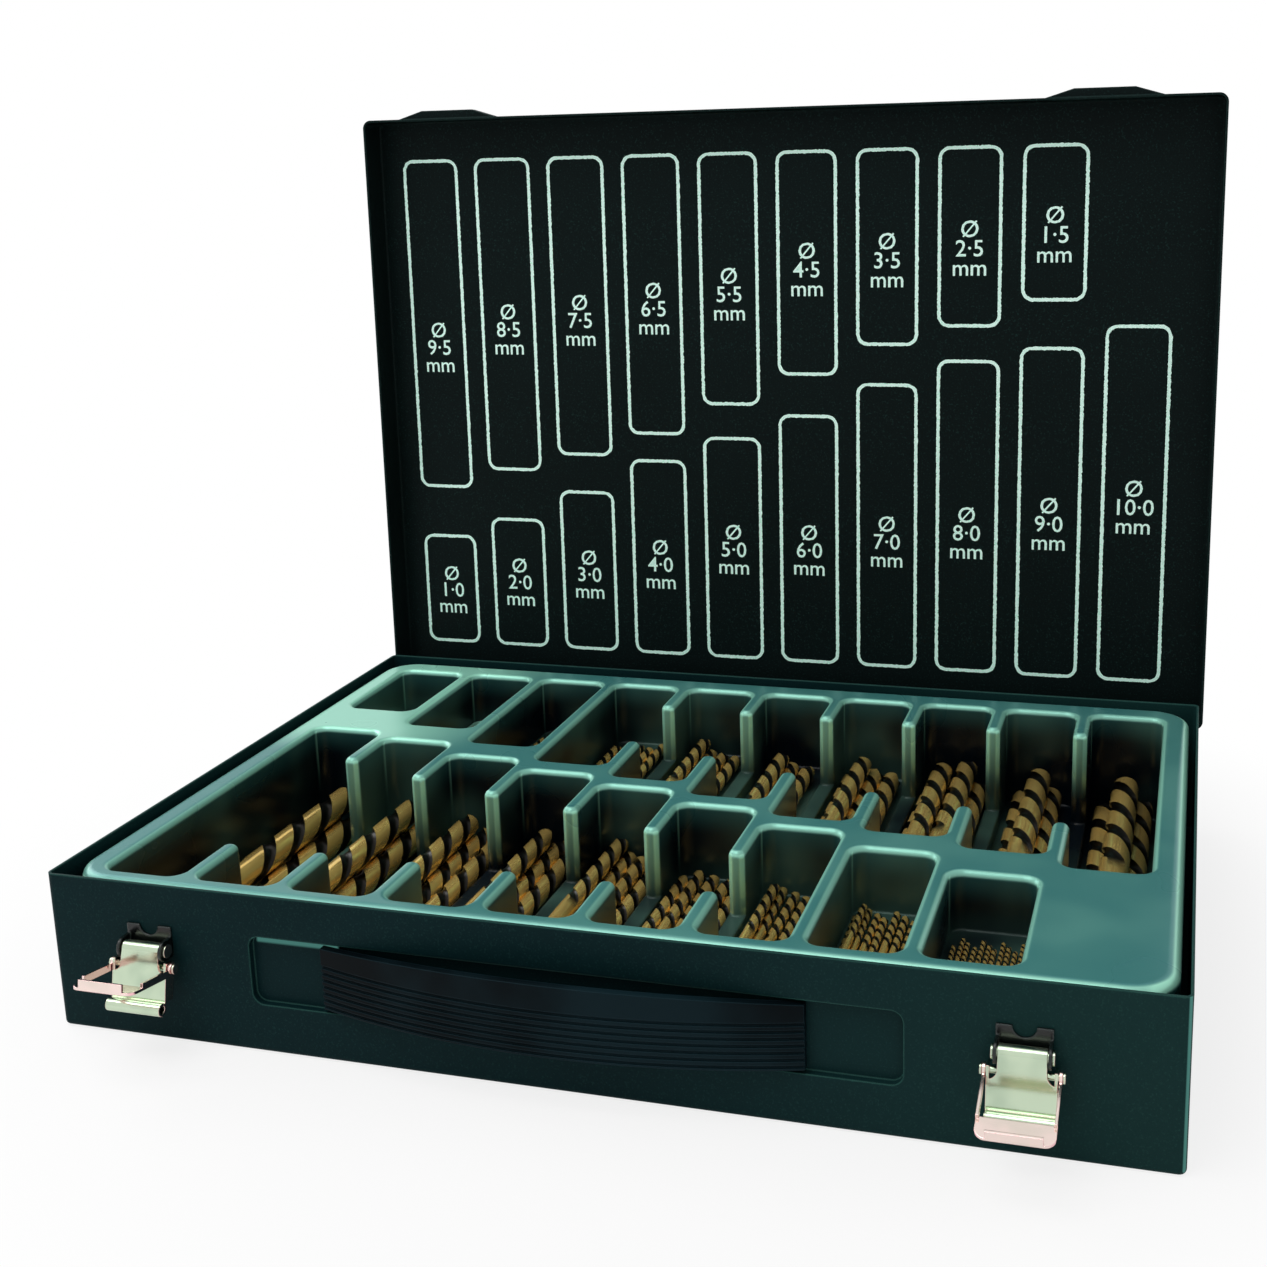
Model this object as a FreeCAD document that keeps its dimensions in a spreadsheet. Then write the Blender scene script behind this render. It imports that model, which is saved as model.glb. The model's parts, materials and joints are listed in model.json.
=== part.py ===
"""Drill bit drawer case: a shallow steel tray case with a hinged telescoping lid,
a moulded insert with nineteen bit pockets, two draw latches and a strap handle.

Millimetres. +X runs to the right as seen from the front, +Y to the rear and +Z up.
The origin is the centre of the underside of the base. The lid stands open.
"""
import FreeCAD
import Part
import Sketcher
import math
import os
import re

V = FreeCAD.Vector
doc = FreeCAD.newDocument("drill_case")

# Driving dimensions of the case

SIZES = [
    ("case_width", 340.0, "base pan, left to right"),
    ("case_depth", 236.0, "base pan, front to rear"),
    ("base_height", 51.0, "base pan, floor to rim"),
    ("sheet", 0.8, "steel sheet of both pans"),
    ("corner_radius", 2.2, "upright corner folds of the base pan"),
    ("floor_radius", 1.4, "fold between wall and floor"),
    ("lid_gap", 0.9, "running gap between the base walls and the lid skirt"),
    ("lid_depth", 14.0, "lid skirt, edge to outer face"),
    ("lid_overlap", 10.0, "how far the closed skirt reaches down over the base"),
    ("lid_corner_radius", 3.4, "upright corner folds of the lid"),
    ("lid_edge_radius", 1.5, "fold round the lid panel"),
    ("lid_open_angle", 91.0, "opening angle at which the lid leans back on its stop"),
    ("keeper_rise", 3.2, "how far each pressed keeper stands off the skirt"),
    ("keeper_top_width", 22.0, "flat crown of a keeper"),
    ("keeper_foot_width", 46.0, "keeper where it flares into the skirt"),
    ("keeper_height", 4.0, "keeper along the skirt"),
    ("keeper_lift", 1.6, "skirt edge to the keeper"),
    ("recess_left_inset", 69.0, "left end of the case to the pressed handle recess"),
    ("recess_right_inset", 74.0, "right end of the case to the handle recess"),
    ("recess_drop", 13.2, "rim of the base to the upper edge of the handle recess"),
    ("recess_height", 22.0, "handle recess, lower to upper edge"),
    ("recess_depth", 2.5, "depth of the handle recess"),
    ("recess_radius", 3.6, "corners of the handle recess"),
    ("hinge_length", 300.0, "continuous hinge"),
    ("hinge_leaf", 0.8, "sheet of the hinge leaves"),
    ("hinge_leaf_height", 16.0, "base leaf below the hinge axis"),
    ("hinge_lid_leaf_height", 11.5, "lid leaf beyond the hinge axis"),
    ("knuckle_radius", 1.9, "outside of the rolled knuckles"),
    ("knuckle_gap", 0.3, "end play between knuckles and round them"),
    ("knuckle_length", 33.0, "one knuckle with its share of end play"),
    ("hinge_pin_radius", 1.0, "wire of the hinge pin"),
    ("running_gap", 0.05, "radial play of every pin in its bore"),
    ("tray_rim_drop", 1.5, "base rim down to the top of the insert"),
    ("tray_side_gap", 3.2, "black gap between the insert rim and the side walls"),
    ("tray_front_gap", 3.6, "gap between the insert rim and the front wall"),
    ("tray_corner_radius", 14.0, "corners of the insert rim"),
    ("tray_deck", 2.7, "thickness of the insert's land"),
    ("tray_wall", 0.9, "pocket walls and floors"),
    ("tray_lip_height", 8.0, "down-turned lip round the insert"),
    ("tray_lip_radius", 3.4, "outer roll of the insert rim"),
    ("side_land", 10.0, "end of the case to the middle of the divider it would share with a next column"),
    ("divider_width", 5.5, "land between two neighbouring pockets"),
    ("pocket_radius", 4.6, "upright corners of a pocket"),
    ("pocket_outer_radius", 5.5, "upright outer corners of a pocket wall"),
    ("pocket_edge", 2.3, "rolled upper edge of a pocket"),
    ("rear_land", 15.0, "rear face of the case to the rear row of pockets"),
    ("front_land", 11.0, "front face of the case to the front row of pockets"),
    ("rear_stub", 24.0, "full-height divider left behind each notch"),
    ("front_stub", 27.0, "full-height divider left ahead of each notch"),
    ("stub_radius", 2.5, "rounded nose of a divider stub"),
    ("ridge_height", 2.5, "low ridge left in a notch, above the shallower floor"),
    ("shallow_depth", 18.0, "depth of the pocket for the thinnest bits"),
    ("deepest_floor", 9.0, "underside of the case to the floor of the deepest pocket"),
    ("foot_size", 12.0, "moulded feet under the deepest pockets"),
    ("left_latch_inset", 35.5, "left end of the case to the middle of the left latch"),
    ("right_latch_inset", 42.0, "right end of the case to the middle of the right latch"),
    ("latch_sheet", 0.8, "sheet of the latch pieces"),
    ("plate_width", 15.0, "latch base plate"),
    ("plate_rise", 6.2, "lever pin to the upper edge of the latch base plate"),
    ("plate_notch_radius", 3.2, "half-round notch in the plate's upper edge"),
    ("ear_radius", 3.2, "round ears of the latch base plate"),
    ("lever_pivot_drop", 19.2, "rim of the base to the lever pin"),
    ("lever_pivot_out", 3.9, "lever pin ahead of the front wall"),
    ("lever_pin_radius", 1.5, "rivet that the lever turns on"),
    ("claw_pin_radius", 1.0, "rivet that the claw turns on"),
    ("pin_head_lap", 0.6, "how far a peened head reaches past its bore"),
    ("pin_head", 0.6, "thickness of the peened heads"),
    ("latch_gap", 0.3, "side play between latch pieces"),
    ("lever_width", 18.4, "shoulders of the lever"),
    ("lever_length", 16.7, "lever pin to the middle of the finger curl"),
    ("lever_neck", 4.0, "lever pin to the shoulders"),
    ("finger_roll", 2.0, "curled finger edge of the lever"),
    ("claw_pivot_drop", 5.0, "claw pin from the lever pin along the lever"),
    ("claw_reach", 21.3, "claw pin to the tip of the claw"),
    ("claw_clear", 14.6, "claw pin to the cross plate of the claw"),
    ("claw_eye", 3.8, "round eye of a claw arm"),
    ("claw_arm", 2.2, "width of a claw arm"),
    ("claw_corner", 3.0, "rounded corners of the claw's cross plate"),
    ("claw_lip", 3.2, "hooked lip at the tip of the claw"),
    ("claw_offset", 1.2, "claw pin to the cross plate, across"),
    ("left_lever_angle", 12.0, "left lever, out from the wall"),
    ("left_claw_angle", 100.0, "left claw, out from hanging"),
    ("right_lever_angle", 7.0, "right lever, out from the wall"),
    ("right_claw_angle", 72.0, "right claw, out from hanging"),
    ("strap_left_inset", 24.0, "left end of the recess to the handle strap"),
    ("strap_right_inset", 27.0, "right end of the recess to the handle strap"),
    ("strap_height", 19.4, "handle strap at its ends, lower to upper edge"),
    ("strap_crown", 2.4, "rise of the strap's upper edge toward its middle"),
    ("strap_bow", 11.0, "bow of the strap ahead of the front wall"),
    ("strap_thickness", 2.4, "handle strap at its ribs"),
    ("strap_band", 4.6, "smooth band above the ribs"),
    ("rib_groove", 0.6, "depth of the grooves between the ribs"),
    ("rib_width", 1.0, "height of one groove"),
    ("rib_count", 7.0, "grooves in the handle strap"),
    ("neck_inset", 4.0, "middle of a neck from the end of the strap"),
    ("neck_width", 2.6, "neck of the strap in its slot"),
    ("neck_height", 13.0, "height of the neck"),
    ("neck_play", 0.4, "play of the neck in its slot and of the strap on the recess"),
    ("head_width", 6.4, "head behind the slot"),
    ("head_thickness", 1.5, "thickness of the head"),
    ("strap_travel", 3.6, "outward travel of the handle"),
    ("tip_angle", 118.0, "point angle of the bits"),
    ("chisel_share", 0.12, "flat at the point of a bit, as a share of its diameter"),
    ("bit_play", 0.5, "space between neighbouring bits in a pocket"),
    ("bit_stagger", 2.5, "how unevenly the bits lie"),
    ("rest_gap", 0.1, "air under what only rests"),
    ("bit_clearance", 3.0, "end of a bit to the front wall of its pocket"),
    ("overrun", 2.0, "how far a cutting solid reaches past what it cuts"),
]

sheet = doc.addObject("Spreadsheet::Sheet", "sizes")
for row, (alias, number, note) in enumerate(SIZES, start=1):
    sheet.set("A%d" % row, alias)
    sheet.set("B%d" % row, repr(number))
    sheet.set("C%d" % row, note)
    sheet.setAlias("B%d" % row, alias)
doc.recompute()
ALIASES = {alias for alias, number, note in SIZES}


def size(alias):
    """The number in the sheet's cell of that name."""
    return float(sheet.get(alias))


def cells(text):
    """The text with each size's name written as a reference to its cell."""
    return re.sub(r"[A-Za-z_][A-Za-z_0-9]*", lambda m: "sizes." + m[0] if m[0] in ALIASES else m[0], text)


def value(text):
    """The number that an expression in the sheet's names comes to."""
    return float(sheet.evalExpression(cells(text)))


def add_size(alias, number, note):
    """One more named cell."""
    row = len(ALIASES) + 1
    sheet.set("A%d" % row, alias)
    sheet.set("B%d" % row, repr(number))
    sheet.set("C%d" % row, note)
    sheet.setAlias("B%d" % row, alias)
    ALIASES.add(alias)


# The bits: diameter, the pocket's share of the two rows' depth, how much shorter the bit is, and how many

REAR_ROW = [
    ("1_0", 1.0, 0.238, 16.0, 8), ("2_0", 2.0, 0.305, 15.0, 8), ("3_0", 3.0, 0.371, 17.0, 6),
    ("4_0", 4.0, 0.433, 16.0, 5), ("5_0", 5.0, 0.476, 14.0, 5), ("6_0", 6.0, 0.524, 17.0, 4),
    ("7_0", 7.0, 0.581, 13.0, 4), ("8_0", 8.0, 0.610, 11.0, 5), ("9_0", 9.0, 0.643, 10.0, 3),
    ("10_0", 10.0, 0.681, 10.0, 3),
]
FRONT_ROW = [
    ("9_5", 9.5, 0.643, 10.0, 3), ("8_5", 8.5, 0.614, 12.0, 3), ("7_5", 7.5, 0.562, 9.0, 4),
    ("6_5", 6.5, 0.519, 8.0, 4), ("5_5", 5.5, 0.481, 8.0, 5), ("4_5", 4.5, 0.431, 10.5, 5),
    ("3_5", 3.5, 0.374, 8.6, 7), ("2_5", 2.5, 0.321, 10.4, 9), ("1_5", 1.5, 0.267, 16.0, 11),
]
for tag, diameter, share, spare, count in REAR_ROW + FRONT_ROW:
    add_size("bit_%s_diameter" % tag, diameter, "bit diameter")
    add_size("bit_%s_spare" % tag, spare, "pocket less bit, front to rear")
    add_size("pocket_%s_share" % tag, share, "pocket, front to rear, as a share of the two rows")
doc.recompute()

FRONT = "(-case_depth / 2)"
REAR = "(case_depth / 2)"
TRAY_TOP = "(base_height - tray_rim_drop)"
ROWS = "(case_depth - rear_land - front_land)"
COLUMNS = len(REAR_ROW)


def box(name, x_pair, y_pair, z_pair):
    """A block between pairs of expressions."""
    block = doc.addObject("Part::Box", name)
    for side, axis, (low, high) in zip(("Length", "Width", "Height"), "xyz", (x_pair, y_pair, z_pair)):
        block.setExpression(side, cells("(%s) - (%s)" % (high, low)))
        block.setExpression("Placement.Base.%s" % axis, cells(low))
    return block


TURNS = {"x": (V(0, 1, 0), 90), "y": (V(1, 0, 0), -90), "z": (V(0, 0, 1), 0)}


def rod(name, along, radius, start, length, first, second):
    """A cylinder along x, y or z. first and second place it across, in the order x, y, z."""
    bar = doc.addObject("Part::Cylinder", name)
    turn, degrees = TURNS[along]
    bar.Placement = FreeCAD.Placement(V(), FreeCAD.Rotation(turn, degrees))
    bar.setExpression("Radius", cells(radius))
    bar.setExpression("Height", cells(length))
    across = [axis for axis in "xyz" if axis != along]
    bar.setExpression("Placement.Base.%s" % along, cells(start))
    bar.setExpression("Placement.Base.%s" % across[0], cells(first))
    bar.setExpression("Placement.Base.%s" % across[1], cells(second))
    return bar


def fuse(name, pieces):
    """One solid from several."""
    whole = doc.addObject("Part::MultiFuse", name)
    whole.Shapes = pieces
    return whole


def cut(name, base, tool):
    """The base without the tool."""
    rest = doc.addObject("Part::Cut", name)
    rest.Base = base
    rest.Tool = tool
    return rest


def rounded(name, base, choose, radius):
    """The base with the chosen edges rolled to a radius from the sheet."""
    doc.recompute()
    smooth = doc.addObject("Part::Fillet", name)
    smooth.Base = base
    smooth.Edges = [
        (number, size(radius), size(radius))
        for number, edge in enumerate(base.Shape.Edges, start=1)
        if choose(edge)
    ]
    return smooth


def direction(edge):
    """The unit direction of a straight edge, or nothing for a curve."""
    if edge.Curve.TypeId != "Part::GeomLine":
        return V()
    return edge.tangentAt(edge.FirstParameter)


def upright(edge):
    """Whether an edge runs straight up."""
    return abs(direction(edge).z) > STRAIGHT_SHARE


def level_at(height):
    """A test for edges that lie at one height."""
    def test(edge):
        bounds = edge.BoundBox
        return abs(bounds.ZMin - height) < TINY and abs(bounds.ZMax - height) < TINY
    return test


TINY = size("sheet") / 100
STRAIGHT_SHARE = 0.999


def outline(body, name, role, points, offset):
    """A closed sketch of straight edges. Each corner is a pair of expressions held to the origin."""
    sketch = body.newObject("Sketcher::SketchObject", name)
    plane = [f for f in body.Origin.OriginFeatures if f.Role == role][0]
    sketch.AttachmentSupport = [(plane, "")]
    sketch.MapMode = "FlatFace"
    sketch.setExpression("AttachmentOffset.Base.z", cells(offset))
    count = len(points)
    ring = [
        V(math.cos(2 * math.pi * k / count), math.sin(2 * math.pi * k / count), 0)
        for k in range(count)
    ]
    for k in range(count):
        sketch.addGeometry(Part.LineSegment(ring[k], ring[(k + 1) % count]), False)
    for k in range(count):
        sketch.addConstraint(Sketcher.Constraint("Coincident", k, 2, (k + 1) % count, 1))
    for k, pair in enumerate(points):
        for kind, text, start in zip(("DistanceX", "DistanceY"), pair, ring[k]):
            index = sketch.addConstraint(Sketcher.Constraint(kind, -1, 1, k, 1, start))
            sketch.setExpression("Constraints[%d]" % index, cells(text))
    return sketch


def rectangle(low_x, high_x, low_y, high_y):
    """The corners of a rectangle."""
    return [(low_x, low_y), (high_x, low_y), (high_x, high_y), (low_x, high_y)]


def pad(body, name, sketch, length, backwards=False):
    """Material added from a sketch."""
    feature = body.newObject("PartDesign::Pad", name)
    feature.Profile = sketch
    feature.setExpression("Length", cells(length))
    feature.Reversed = backwards
    doc.recompute()
    return feature


def pocket(body, name, sketch, length, backwards=False):
    """Material cut from a sketch; the volume has to fall."""
    before = body.Shape.Volume
    feature = body.newObject("PartDesign::Pocket", name)
    feature.Profile = sketch
    feature.setExpression("Length", cells(length))
    feature.Reversed = backwards
    doc.recompute()
    if not body.Shape.Volume < before:
        raise ValueError(name + " cuts nothing")
    return feature


def roll(body, name, choose, radius):
    """Chosen edges of a body rolled to a radius."""
    doc.recompute()
    last = body.Tip
    names = ["Edge%d" % n for n, edge in enumerate(last.Shape.Edges, start=1) if choose(edge)]
    feature = body.newObject("PartDesign::Fillet", name)
    if not names:
        raise ValueError(name + " has no edge to roll")
    feature.Base = (last, names)
    feature.setExpression("Radius", cells(radius))
    doc.recompute()
    return feature


def shell(body, name, open_height):
    """A block turned into sheet, open on the flat face at the given height."""
    last = body.Tip
    faces = [
        "Face%d" % n for n, face in enumerate(last.Shape.Faces, start=1)
        if abs(face.BoundBox.ZMin - open_height) < TINY and abs(face.BoundBox.ZMax - open_height) < TINY
    ]
    feature = body.newObject("PartDesign::Thickness", name)
    feature.Base = (last, faces)
    feature.setExpression("Value", cells("sheet"))
    feature.Reversed = True
    feature.Mode = 0
    feature.Join = 0
    doc.recompute()
    return feature


def new_body(name):
    """A body whose label is the node's name."""
    body = doc.addObject("PartDesign::Body", name)
    body.Label = name
    return body


NODES = []


def keep(thing, name):
    """Take an object as a finished sub-part."""
    thing.Label = name
    NODES.append(thing)
    return thing


# Base pan: floor and four walls from one sheet, with the recess pressed into the front

RECESS_LEFT = "(-case_width / 2 + recess_left_inset)"
RECESS_RIGHT = "(case_width / 2 - recess_right_inset)"
RECESS_TOP = "(base_height - recess_drop)"
RECESS_BOTTOM = "(base_height - recess_drop - recess_height)"

base = new_body("base_pan")
pad(base, "base_block", outline(base, "base_outline", "XY_Plane", rectangle(
    "-case_width / 2", "case_width / 2", "-case_depth / 2", "case_depth / 2"), "0"), "base_height")
roll(base, "base_corners", upright, "corner_radius")
roll(base, "base_floor_fold", level_at(0), "floor_radius")
shell(base, "base_shell", size("base_height"))
pad(base, "recess_back", outline(base, "recess_back_outline", "XZ_Plane", rectangle(
    RECESS_LEFT + " - sheet", RECESS_RIGHT + " + sheet", RECESS_BOTTOM + " - sheet", RECESS_TOP + " + sheet"),
    "case_depth / 2 - sheet / 2"), "recess_depth + sheet / 2", True)
pocket(base, "recess", outline(base, "recess_outline", "XZ_Plane", rectangle(
    RECESS_LEFT, RECESS_RIGHT, RECESS_BOTTOM, RECESS_TOP), "case_depth / 2"), "recess_depth")


def recess_corner(edge):
    """The short edges that run inward at the corners of the recess."""
    if abs(direction(edge).y) < STRAIGHT_SHARE:
        return False
    centre = edge.BoundBox.Center
    level = any(abs(centre.z - value(a)) < TINY for a in (RECESS_BOTTOM, RECESS_TOP))
    side = any(abs(centre.x - value(a)) < TINY for a in (RECESS_LEFT, RECESS_RIGHT))
    return level and side


roll(base, "recess_corners", recess_corner, "recess_radius")
STRAP_MIDDLE = "((%s + %s) / 2)" % (RECESS_BOTTOM, RECESS_TOP)
STRAP_LEFT = "(%s + strap_left_inset)" % RECESS_LEFT
STRAP_RIGHT = "(%s - strap_right_inset)" % RECESS_RIGHT
NECKS = ["(%s + neck_inset)" % STRAP_LEFT, "(%s - neck_inset)" % STRAP_RIGHT]
for number, neck in enumerate(NECKS):
    slot = outline(base, "neck_slot_outline_%d" % number, "XZ_Plane", rectangle(
        neck + " - neck_width / 2 - neck_play", neck + " + neck_width / 2 + neck_play",
        STRAP_MIDDLE + " - neck_height / 2 - neck_play", STRAP_MIDDLE + " + neck_height / 2 + neck_play"),
        "case_depth / 2")
    pocket(base, "neck_slot_%d" % number, slot, "recess_depth + sheet + overrun / 2")
keep(base, "base_pan")

# Lid pan, drawn closed and then swung open about the hinge

LID_EDGE = "(base_height - lid_overlap)"
LID_X = "(case_width / 2 + lid_gap + sheet)"
LID_Y = "(case_depth / 2 + lid_gap + sheet)"
HINGE_Y = "(case_depth / 2 + knuckle_radius + knuckle_gap)"
HINGE_Z = "(base_height - lid_overlap - knuckle_radius - knuckle_gap)"
LATCH = {"left": "(-case_width / 2 + left_latch_inset)", "right": "(case_width / 2 - right_latch_inset)"}
OPEN = FreeCAD.Placement(
    V(), FreeCAD.Rotation(V(1, 0, 0), -size("lid_open_angle")), V(0, value(HINGE_Y), value(HINGE_Z)))

lid = new_body("lid_pan")
pad(lid, "lid_block", outline(lid, "lid_outline", "XY_Plane", rectangle(
    "-" + LID_X, LID_X, "-" + LID_Y, LID_Y), LID_EDGE), "lid_depth")
roll(lid, "lid_corners", upright, "lid_corner_radius")
roll(lid, "lid_fold", level_at(value(LID_EDGE + " + lid_depth")), "lid_edge_radius")
shell(lid, "lid_shell", value(LID_EDGE))
for side, centre in LATCH.items():
    foot = "keeper_foot_width / 2"
    crown = "keeper_top_width / 2"
    pad(lid, side + "_keeper", outline(lid, side + "_keeper_outline", "XY_Plane", [
        (centre + " - " + foot, "-" + LID_Y + " + sheet / 2"),
        (centre + " - " + crown, "-" + LID_Y + " - keeper_rise"),
        (centre + " + " + crown, "-" + LID_Y + " - keeper_rise"),
        (centre + " + " + foot, "-" + LID_Y + " + sheet / 2")], LID_EDGE + " + keeper_lift"), "keeper_height")
    pocket(lid, side + "_keeper_hollow", outline(lid, side + "_keeper_hollow_outline", "XY_Plane", [
        (centre + " - " + foot + " + sheet * 3", "-" + LID_Y + " + sheet * 1.5"),
        (centre + " - " + crown + " + sheet", "-" + LID_Y + " - keeper_rise + sheet"),
        (centre + " + " + crown + " - sheet", "-" + LID_Y + " - keeper_rise + sheet"),
        (centre + " + " + foot + " - sheet * 3", "-" + LID_Y + " + sheet * 1.5")],
        LID_EDGE + " + keeper_lift + sheet"), "keeper_height - sheet * 2", True)
lid.Placement = OPEN
keep(lid, "lid_pan")


# Continuous hinge: two leaves with alternate rolled knuckles on one wire pin

def hinge_leaf(name, low_y, high_y, low_z, high_z, own_first):
    """A leaf whose knuckles stand at every other place along the axis."""
    leaf = new_body(name)
    half = "hinge_length / 2"
    pad(leaf, name + "_sheet", outline(leaf, name + "_profile", "YZ_Plane",
        rectangle(low_y, high_y, low_z, high_z), "-" + half), "hinge_length")
    circle = leaf.newObject("Sketcher::SketchObject", name + "_roll")
    plane = [f for f in leaf.Origin.OriginFeatures if f.Role == "YZ_Plane"][0]
    circle.AttachmentSupport = [(plane, "")]
    circle.MapMode = "FlatFace"
    circle.setExpression("AttachmentOffset.Base.z", cells("-" + half))
    round_the_pin(circle, "knuckle_radius", HINGE_Y, HINGE_Z)
    pad(leaf, name + "_knuckles", circle, "hinge_length")
    places = int(size("hinge_length") / size("knuckle_length"))
    add = 0 if own_first else 1
    reach = "(knuckle_radius + knuckle_gap)"
    for place in range(places):
        if place % 2 == add:
            continue
        start = "-%s + %d * hinge_length / %d" % (half, place, places)
        length = "hinge_length / %d" % places
        first = place == 0
        last = place == places - 1
        low = start + (" - overrun" if first else " - knuckle_gap / 2")
        extra = " + overrun" if first else " + knuckle_gap / 2"
        extra += " + overrun" if last else " + knuckle_gap / 2"
        pocket(leaf, "%s_space_%d" % (name, place), outline(leaf, "%s_space_outline_%d" % (name, place),
            "YZ_Plane", rectangle(HINGE_Y + " - " + reach, HINGE_Y + " + " + reach,
            HINGE_Z + " - " + reach, HINGE_Z + " + " + reach), low), length + extra, True)
    bore = leaf.newObject("Sketcher::SketchObject", name + "_bore")
    bore.AttachmentSupport = [(plane, "")]
    bore.MapMode = "FlatFace"
    bore.setExpression("AttachmentOffset.Base.z", cells("-" + half + " - overrun"))
    round_the_pin(bore, "hinge_pin_radius + running_gap", HINGE_Y, HINGE_Z)
    pocket(leaf, name + "_pin_bore", bore, "hinge_length + 2 * overrun", True)
    return leaf


def round_the_pin(sketch, radius, first, second):
    """A circle held to the origin by its centre and radius."""
    sketch.addGeometry(Part.Circle(V(1, 1, 0), V(0, 0, 1), 1), False)
    for kind, text in (("DistanceX", first), ("DistanceY", second)):
        index = sketch.addConstraint(Sketcher.Constraint(kind, -1, 1, 0, 3, 1))
        sketch.setExpression("Constraints[%d]" % index, cells(text))
    index = sketch.addConstraint(Sketcher.Constraint("Radius", 0, 1))
    sketch.setExpression("Constraints[%d]" % index, cells(radius))


keep(hinge_leaf("hinge_base_leaf", REAR, REAR + " + hinge_leaf",
                HINGE_Z + " - hinge_leaf_height", HINGE_Z, True), "hinge_base_leaf")
lid_leaf = hinge_leaf("hinge_lid_leaf", LID_Y, LID_Y + " + hinge_leaf",
                      HINGE_Z, HINGE_Z + " + hinge_lid_leaf_height", False)
lid_leaf.Placement = OPEN
keep(lid_leaf, "hinge_lid_leaf")
wire = rod("hinge_wire", "x", "hinge_pin_radius", "-hinge_length / 2", "hinge_length", HINGE_Y, HINGE_Z)
keep(wire, "hinge_pin")

# Moulded insert: a land with nineteen pockets whose depth follows the bit

TRAY_X = "(case_width / 2 - tray_side_gap)"
TRAY_FRONT = "(-case_depth / 2 + tray_front_gap)"
TRAY_REAR = "(case_depth / 2 - tray_front_gap)"
PITCH = "((case_width - 2 * side_land) / %d)" % COLUMNS
CLEAR = "(%s - divider_width)" % PITCH
FALL = "(%s - shallow_depth - deepest_floor)" % TRAY_TOP
THICKEST = REAR_ROW[-1][0]
THINNEST = REAR_ROW[0][0]
tray_top = value(TRAY_TOP)


def pocket_place(row, column):
    """The x centre, the two y ends and the floor of one pocket, as expressions."""
    tag = (REAR_ROW if row == "rear" else FRONT_ROW)[column][0]
    middle = "((%d) * %s / 2)" % (2 * column - COLUMNS + 1, PITCH)
    length = "pocket_%s_share * %s" % (tag, ROWS)
    if row == "rear":
        y_pair = ("(%s - rear_land - %s)" % (REAR, length), "(%s - rear_land)" % REAR)
    else:
        y_pair = ("(%s + front_land)" % FRONT, "(%s + front_land + %s)" % (FRONT, length))
    step = "(bit_%s_diameter - bit_%s_diameter) / (bit_%s_diameter - bit_%s_diameter)" % (
        tag, THINNEST, THICKEST, THINNEST)
    floor = "(%s - shallow_depth - %s * %s)" % (TRAY_TOP, FALL, step)
    return middle, y_pair, floor


def grown(pair, by):
    """A pair of expressions moved apart at both ends."""
    return ("%s - %s" % (pair[0], by), "%s + %s" % (pair[1], by))


def corner_roll(block, name, radius):
    """The upright corners of a block, rolled."""
    return rounded(name, block, upright, radius)


deck = box("tray_deck_block", ("-" + TRAY_X, TRAY_X), (TRAY_FRONT, TRAY_REAR),
           (TRAY_TOP + " - tray_lip_height", TRAY_TOP))
deck = corner_roll(deck, "tray_deck_corners", "tray_corner_radius")
hollow = box("tray_under_block", ("-%s + tray_wall" % TRAY_X, "%s - tray_wall" % TRAY_X),
             (TRAY_FRONT + " + tray_wall", TRAY_REAR + " - tray_wall"),
             (TRAY_TOP + " - tray_lip_height - overrun", TRAY_TOP + " - tray_deck"))
hollow = corner_roll(hollow, "tray_under_corners", "tray_corner_radius")
outer = [cut("tray_land", deck, hollow)]
inside = []
for row, table in (("rear", REAR_ROW), ("front", FRONT_ROW)):
    for column, entry in enumerate(table):
        tag = entry[0]
        middle, y_pair, floor = pocket_place(row, column)
        x_pair = grown((middle, middle), CLEAR + " / 2")
        wall = box("wall_block_" + tag, grown(x_pair, "tray_wall"), grown(y_pair, "tray_wall"),
                    (floor + " - tray_wall", TRAY_TOP + " - tray_deck / 2"))
        outer.append(corner_roll(wall, "wall_" + tag, "pocket_outer_radius"))
        space = box("space_block_" + tag, x_pair, y_pair, (floor, TRAY_TOP + " + overrun"))
        inside.append(corner_roll(space, "space_" + tag, "pocket_radius"))

# Finger notches join the pockets of all but the thinnest bits, in both rows
NOTCHED = [("rear", c) for c in range(3, COLUMNS - 1)] + [("front", c) for c in range(0, 6)]
for row, column in NOTCHED:
    middle, y_pair, floor = pocket_place(row, column)
    other, other_pair, other_floor = pocket_place(row, column + 1)
    tag = "%s_%d" % (row, column)
    edge = "((%s + %s) / 2)" % (middle, other)
    x_pair = grown((edge, edge), "(divider_width + tray_wall) / 2")
    shallow = floor if row == "rear" else other_floor
    sill = shallow + " + ridge_height"
    if row == "rear":
        run = (y_pair[0] + " + front_stub", y_pair[1] + " - rear_stub")
    else:
        run = (y_pair[0] + " + front_stub", other_pair[1] + " - rear_stub")
    outer.append(box("notch_wall_" + tag, x_pair, grown(run, "tray_wall"),
                     (sill + " - tray_wall", TRAY_TOP + " - tray_deck / 2")))
    inside.append(box("notch_" + tag, x_pair, run, (sill, TRAY_TOP + " + overrun")))

FEET = [("rear", 9), ("rear", 7), ("rear", 5), ("front", 0), ("front", 2), ("front", 4)]
for row, column in FEET:
    middle, y_pair, floor = pocket_place(row, column)
    along = "((%s + %s) / 2)" % y_pair
    outer.append(box("foot_%s_%d" % (row, column), grown((middle, middle), "foot_size / 2"),
                     grown((along, along), "foot_size / 2"), ("sheet", floor + " - tray_wall / 2")))

tray = cut("tray_cut", fuse("tray_walls", outer), fuse("tray_spaces", inside))
doc.recompute()


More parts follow.
